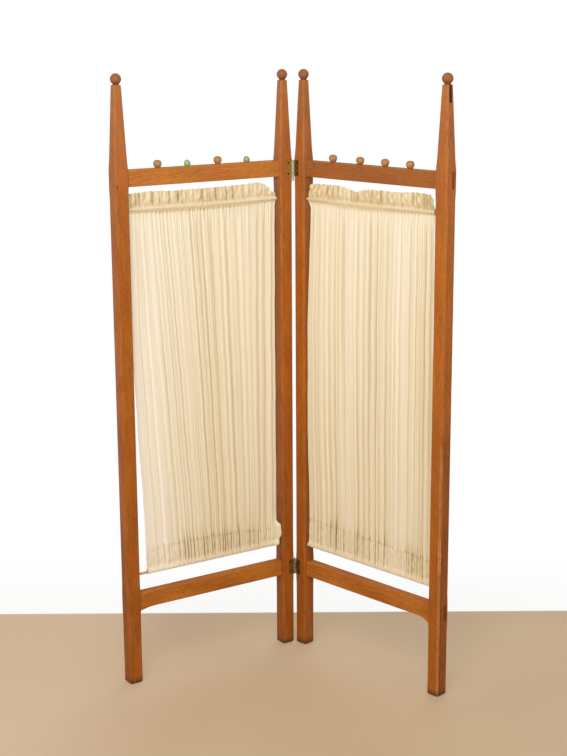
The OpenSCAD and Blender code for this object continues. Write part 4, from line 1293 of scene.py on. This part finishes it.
class SCREEN_OT_curtains(bpy.types.Operator):
    """Sew and hang both gathered curtains"""
    bl_idname = "screen.curtains"
    bl_label = "Curtains"

    def execute(self, context):
        settings = context.scene.screen_curtain
        cotton = cotton_material(settings)
        thread = self.thread(settings)
        tree = stitch_tree()
        for name in SIDES:
            curtain = Curtain(name, settings)
            mesh, flat = curtain.build()
            mesh.materials.append(cotton)
            piece = shown(name + "_curtain_cloth", mesh)
            wall = piece.modifiers.new("Cloth", "SOLIDIFY")
            wall.thickness = settings.cloth_thickness
            wall.offset = 0
            wall.use_even_offset = False
            mesh = plain_mesh(piece)
            piece.modifiers.clear()
            piece.data = mesh
            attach(piece, name + "_panel")
            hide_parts(name + "_curtain")
            stitches = run_nodes(name + "_curtain_stitches", curtain.seam_lines(), tree, {
                "Pitch": settings.stitch_pitch, "Stitch Length": settings.stitch_length,
                "Thread": settings.thread, "Material": thread})
            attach(stitches, name + "_panel")
        return {"FINISHED"}

    def thread(self, settings):
        """Twisted cotton sewing thread."""
        made, tree = material("Sewing thread")
        twist = noise(coordinates(tree), 2400.0)
        colour = mixed(twist, from_screen(settings.stitch), from_screen(settings.double))
        finish_surface(tree, colour, 0.15 * twist + 0.75, twist, 0.00008, {"Specular IOR Level": 0.2})
        return made


class SCREEN_PT_panel(bpy.types.Panel):
    """Sidebar panel with every part of the screen"""
    bl_label = "Dressing Screen"
    bl_space_type = "VIEW_3D"
    bl_region_type = "UI"
    bl_category = "Screen"

    def draw(self, context):
        for heading, operators, group in (
            ("Studio", ["screen.stage"], context.scene.screen_stage),
            ("Oak", ["screen.oak"], context.scene.screen_oak),
            ("Turned Wood", ["screen.turned", "screen.rods"], context.scene.screen_turned),
            ("Brass", ["screen.hinges"], context.scene.screen_brass),
            ("Curtains", ["screen.curtains"], context.scene.screen_curtain),
        ):
            box = self.layout.box()
            box.label(text=heading)
            for name in group.__annotations__:
                box.prop(group, name)
            for operator in operators:
                box.operator(operator)


CLASSES = (OakSettings, TurnedSettings, BrassSettings, CurtainSettings, StageSettings, SCREEN_OT_stage,
           SCREEN_OT_oak, SCREEN_OT_turned, SCREEN_OT_hinges, SCREEN_OT_rods, SCREEN_OT_curtains,
           SCREEN_PT_panel)
GROUPS = {"screen_oak": OakSettings, "screen_turned": TurnedSettings, "screen_brass": BrassSettings,
          "screen_curtain": CurtainSettings, "screen_stage": StageSettings}


def register():
    """Adds the classes and their settings to Blender."""
    for cls in CLASSES:
        bpy.utils.register_class(cls)
    for name, group in GROUPS.items():
        setattr(bpy.types.Scene, name, PointerProperty(type=group))


def unregister():
    """Takes the classes and their settings out again."""
    for name in GROUPS:
        delattr(bpy.types.Scene, name)
    for cls in reversed(CLASSES):
        bpy.utils.unregister_class(cls)


def main():
    """Builds the whole scene round the frame."""
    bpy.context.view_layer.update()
    register()
    bpy.context.scene.view_settings.view_transform = "Standard"
    bpy.ops.screen.stage()
    bpy.ops.screen.oak()
    bpy.ops.screen.turned()
    bpy.ops.screen.hinges()
    bpy.ops.screen.rods()
    bpy.ops.screen.curtains()


if __name__ == "__main__":
    main()
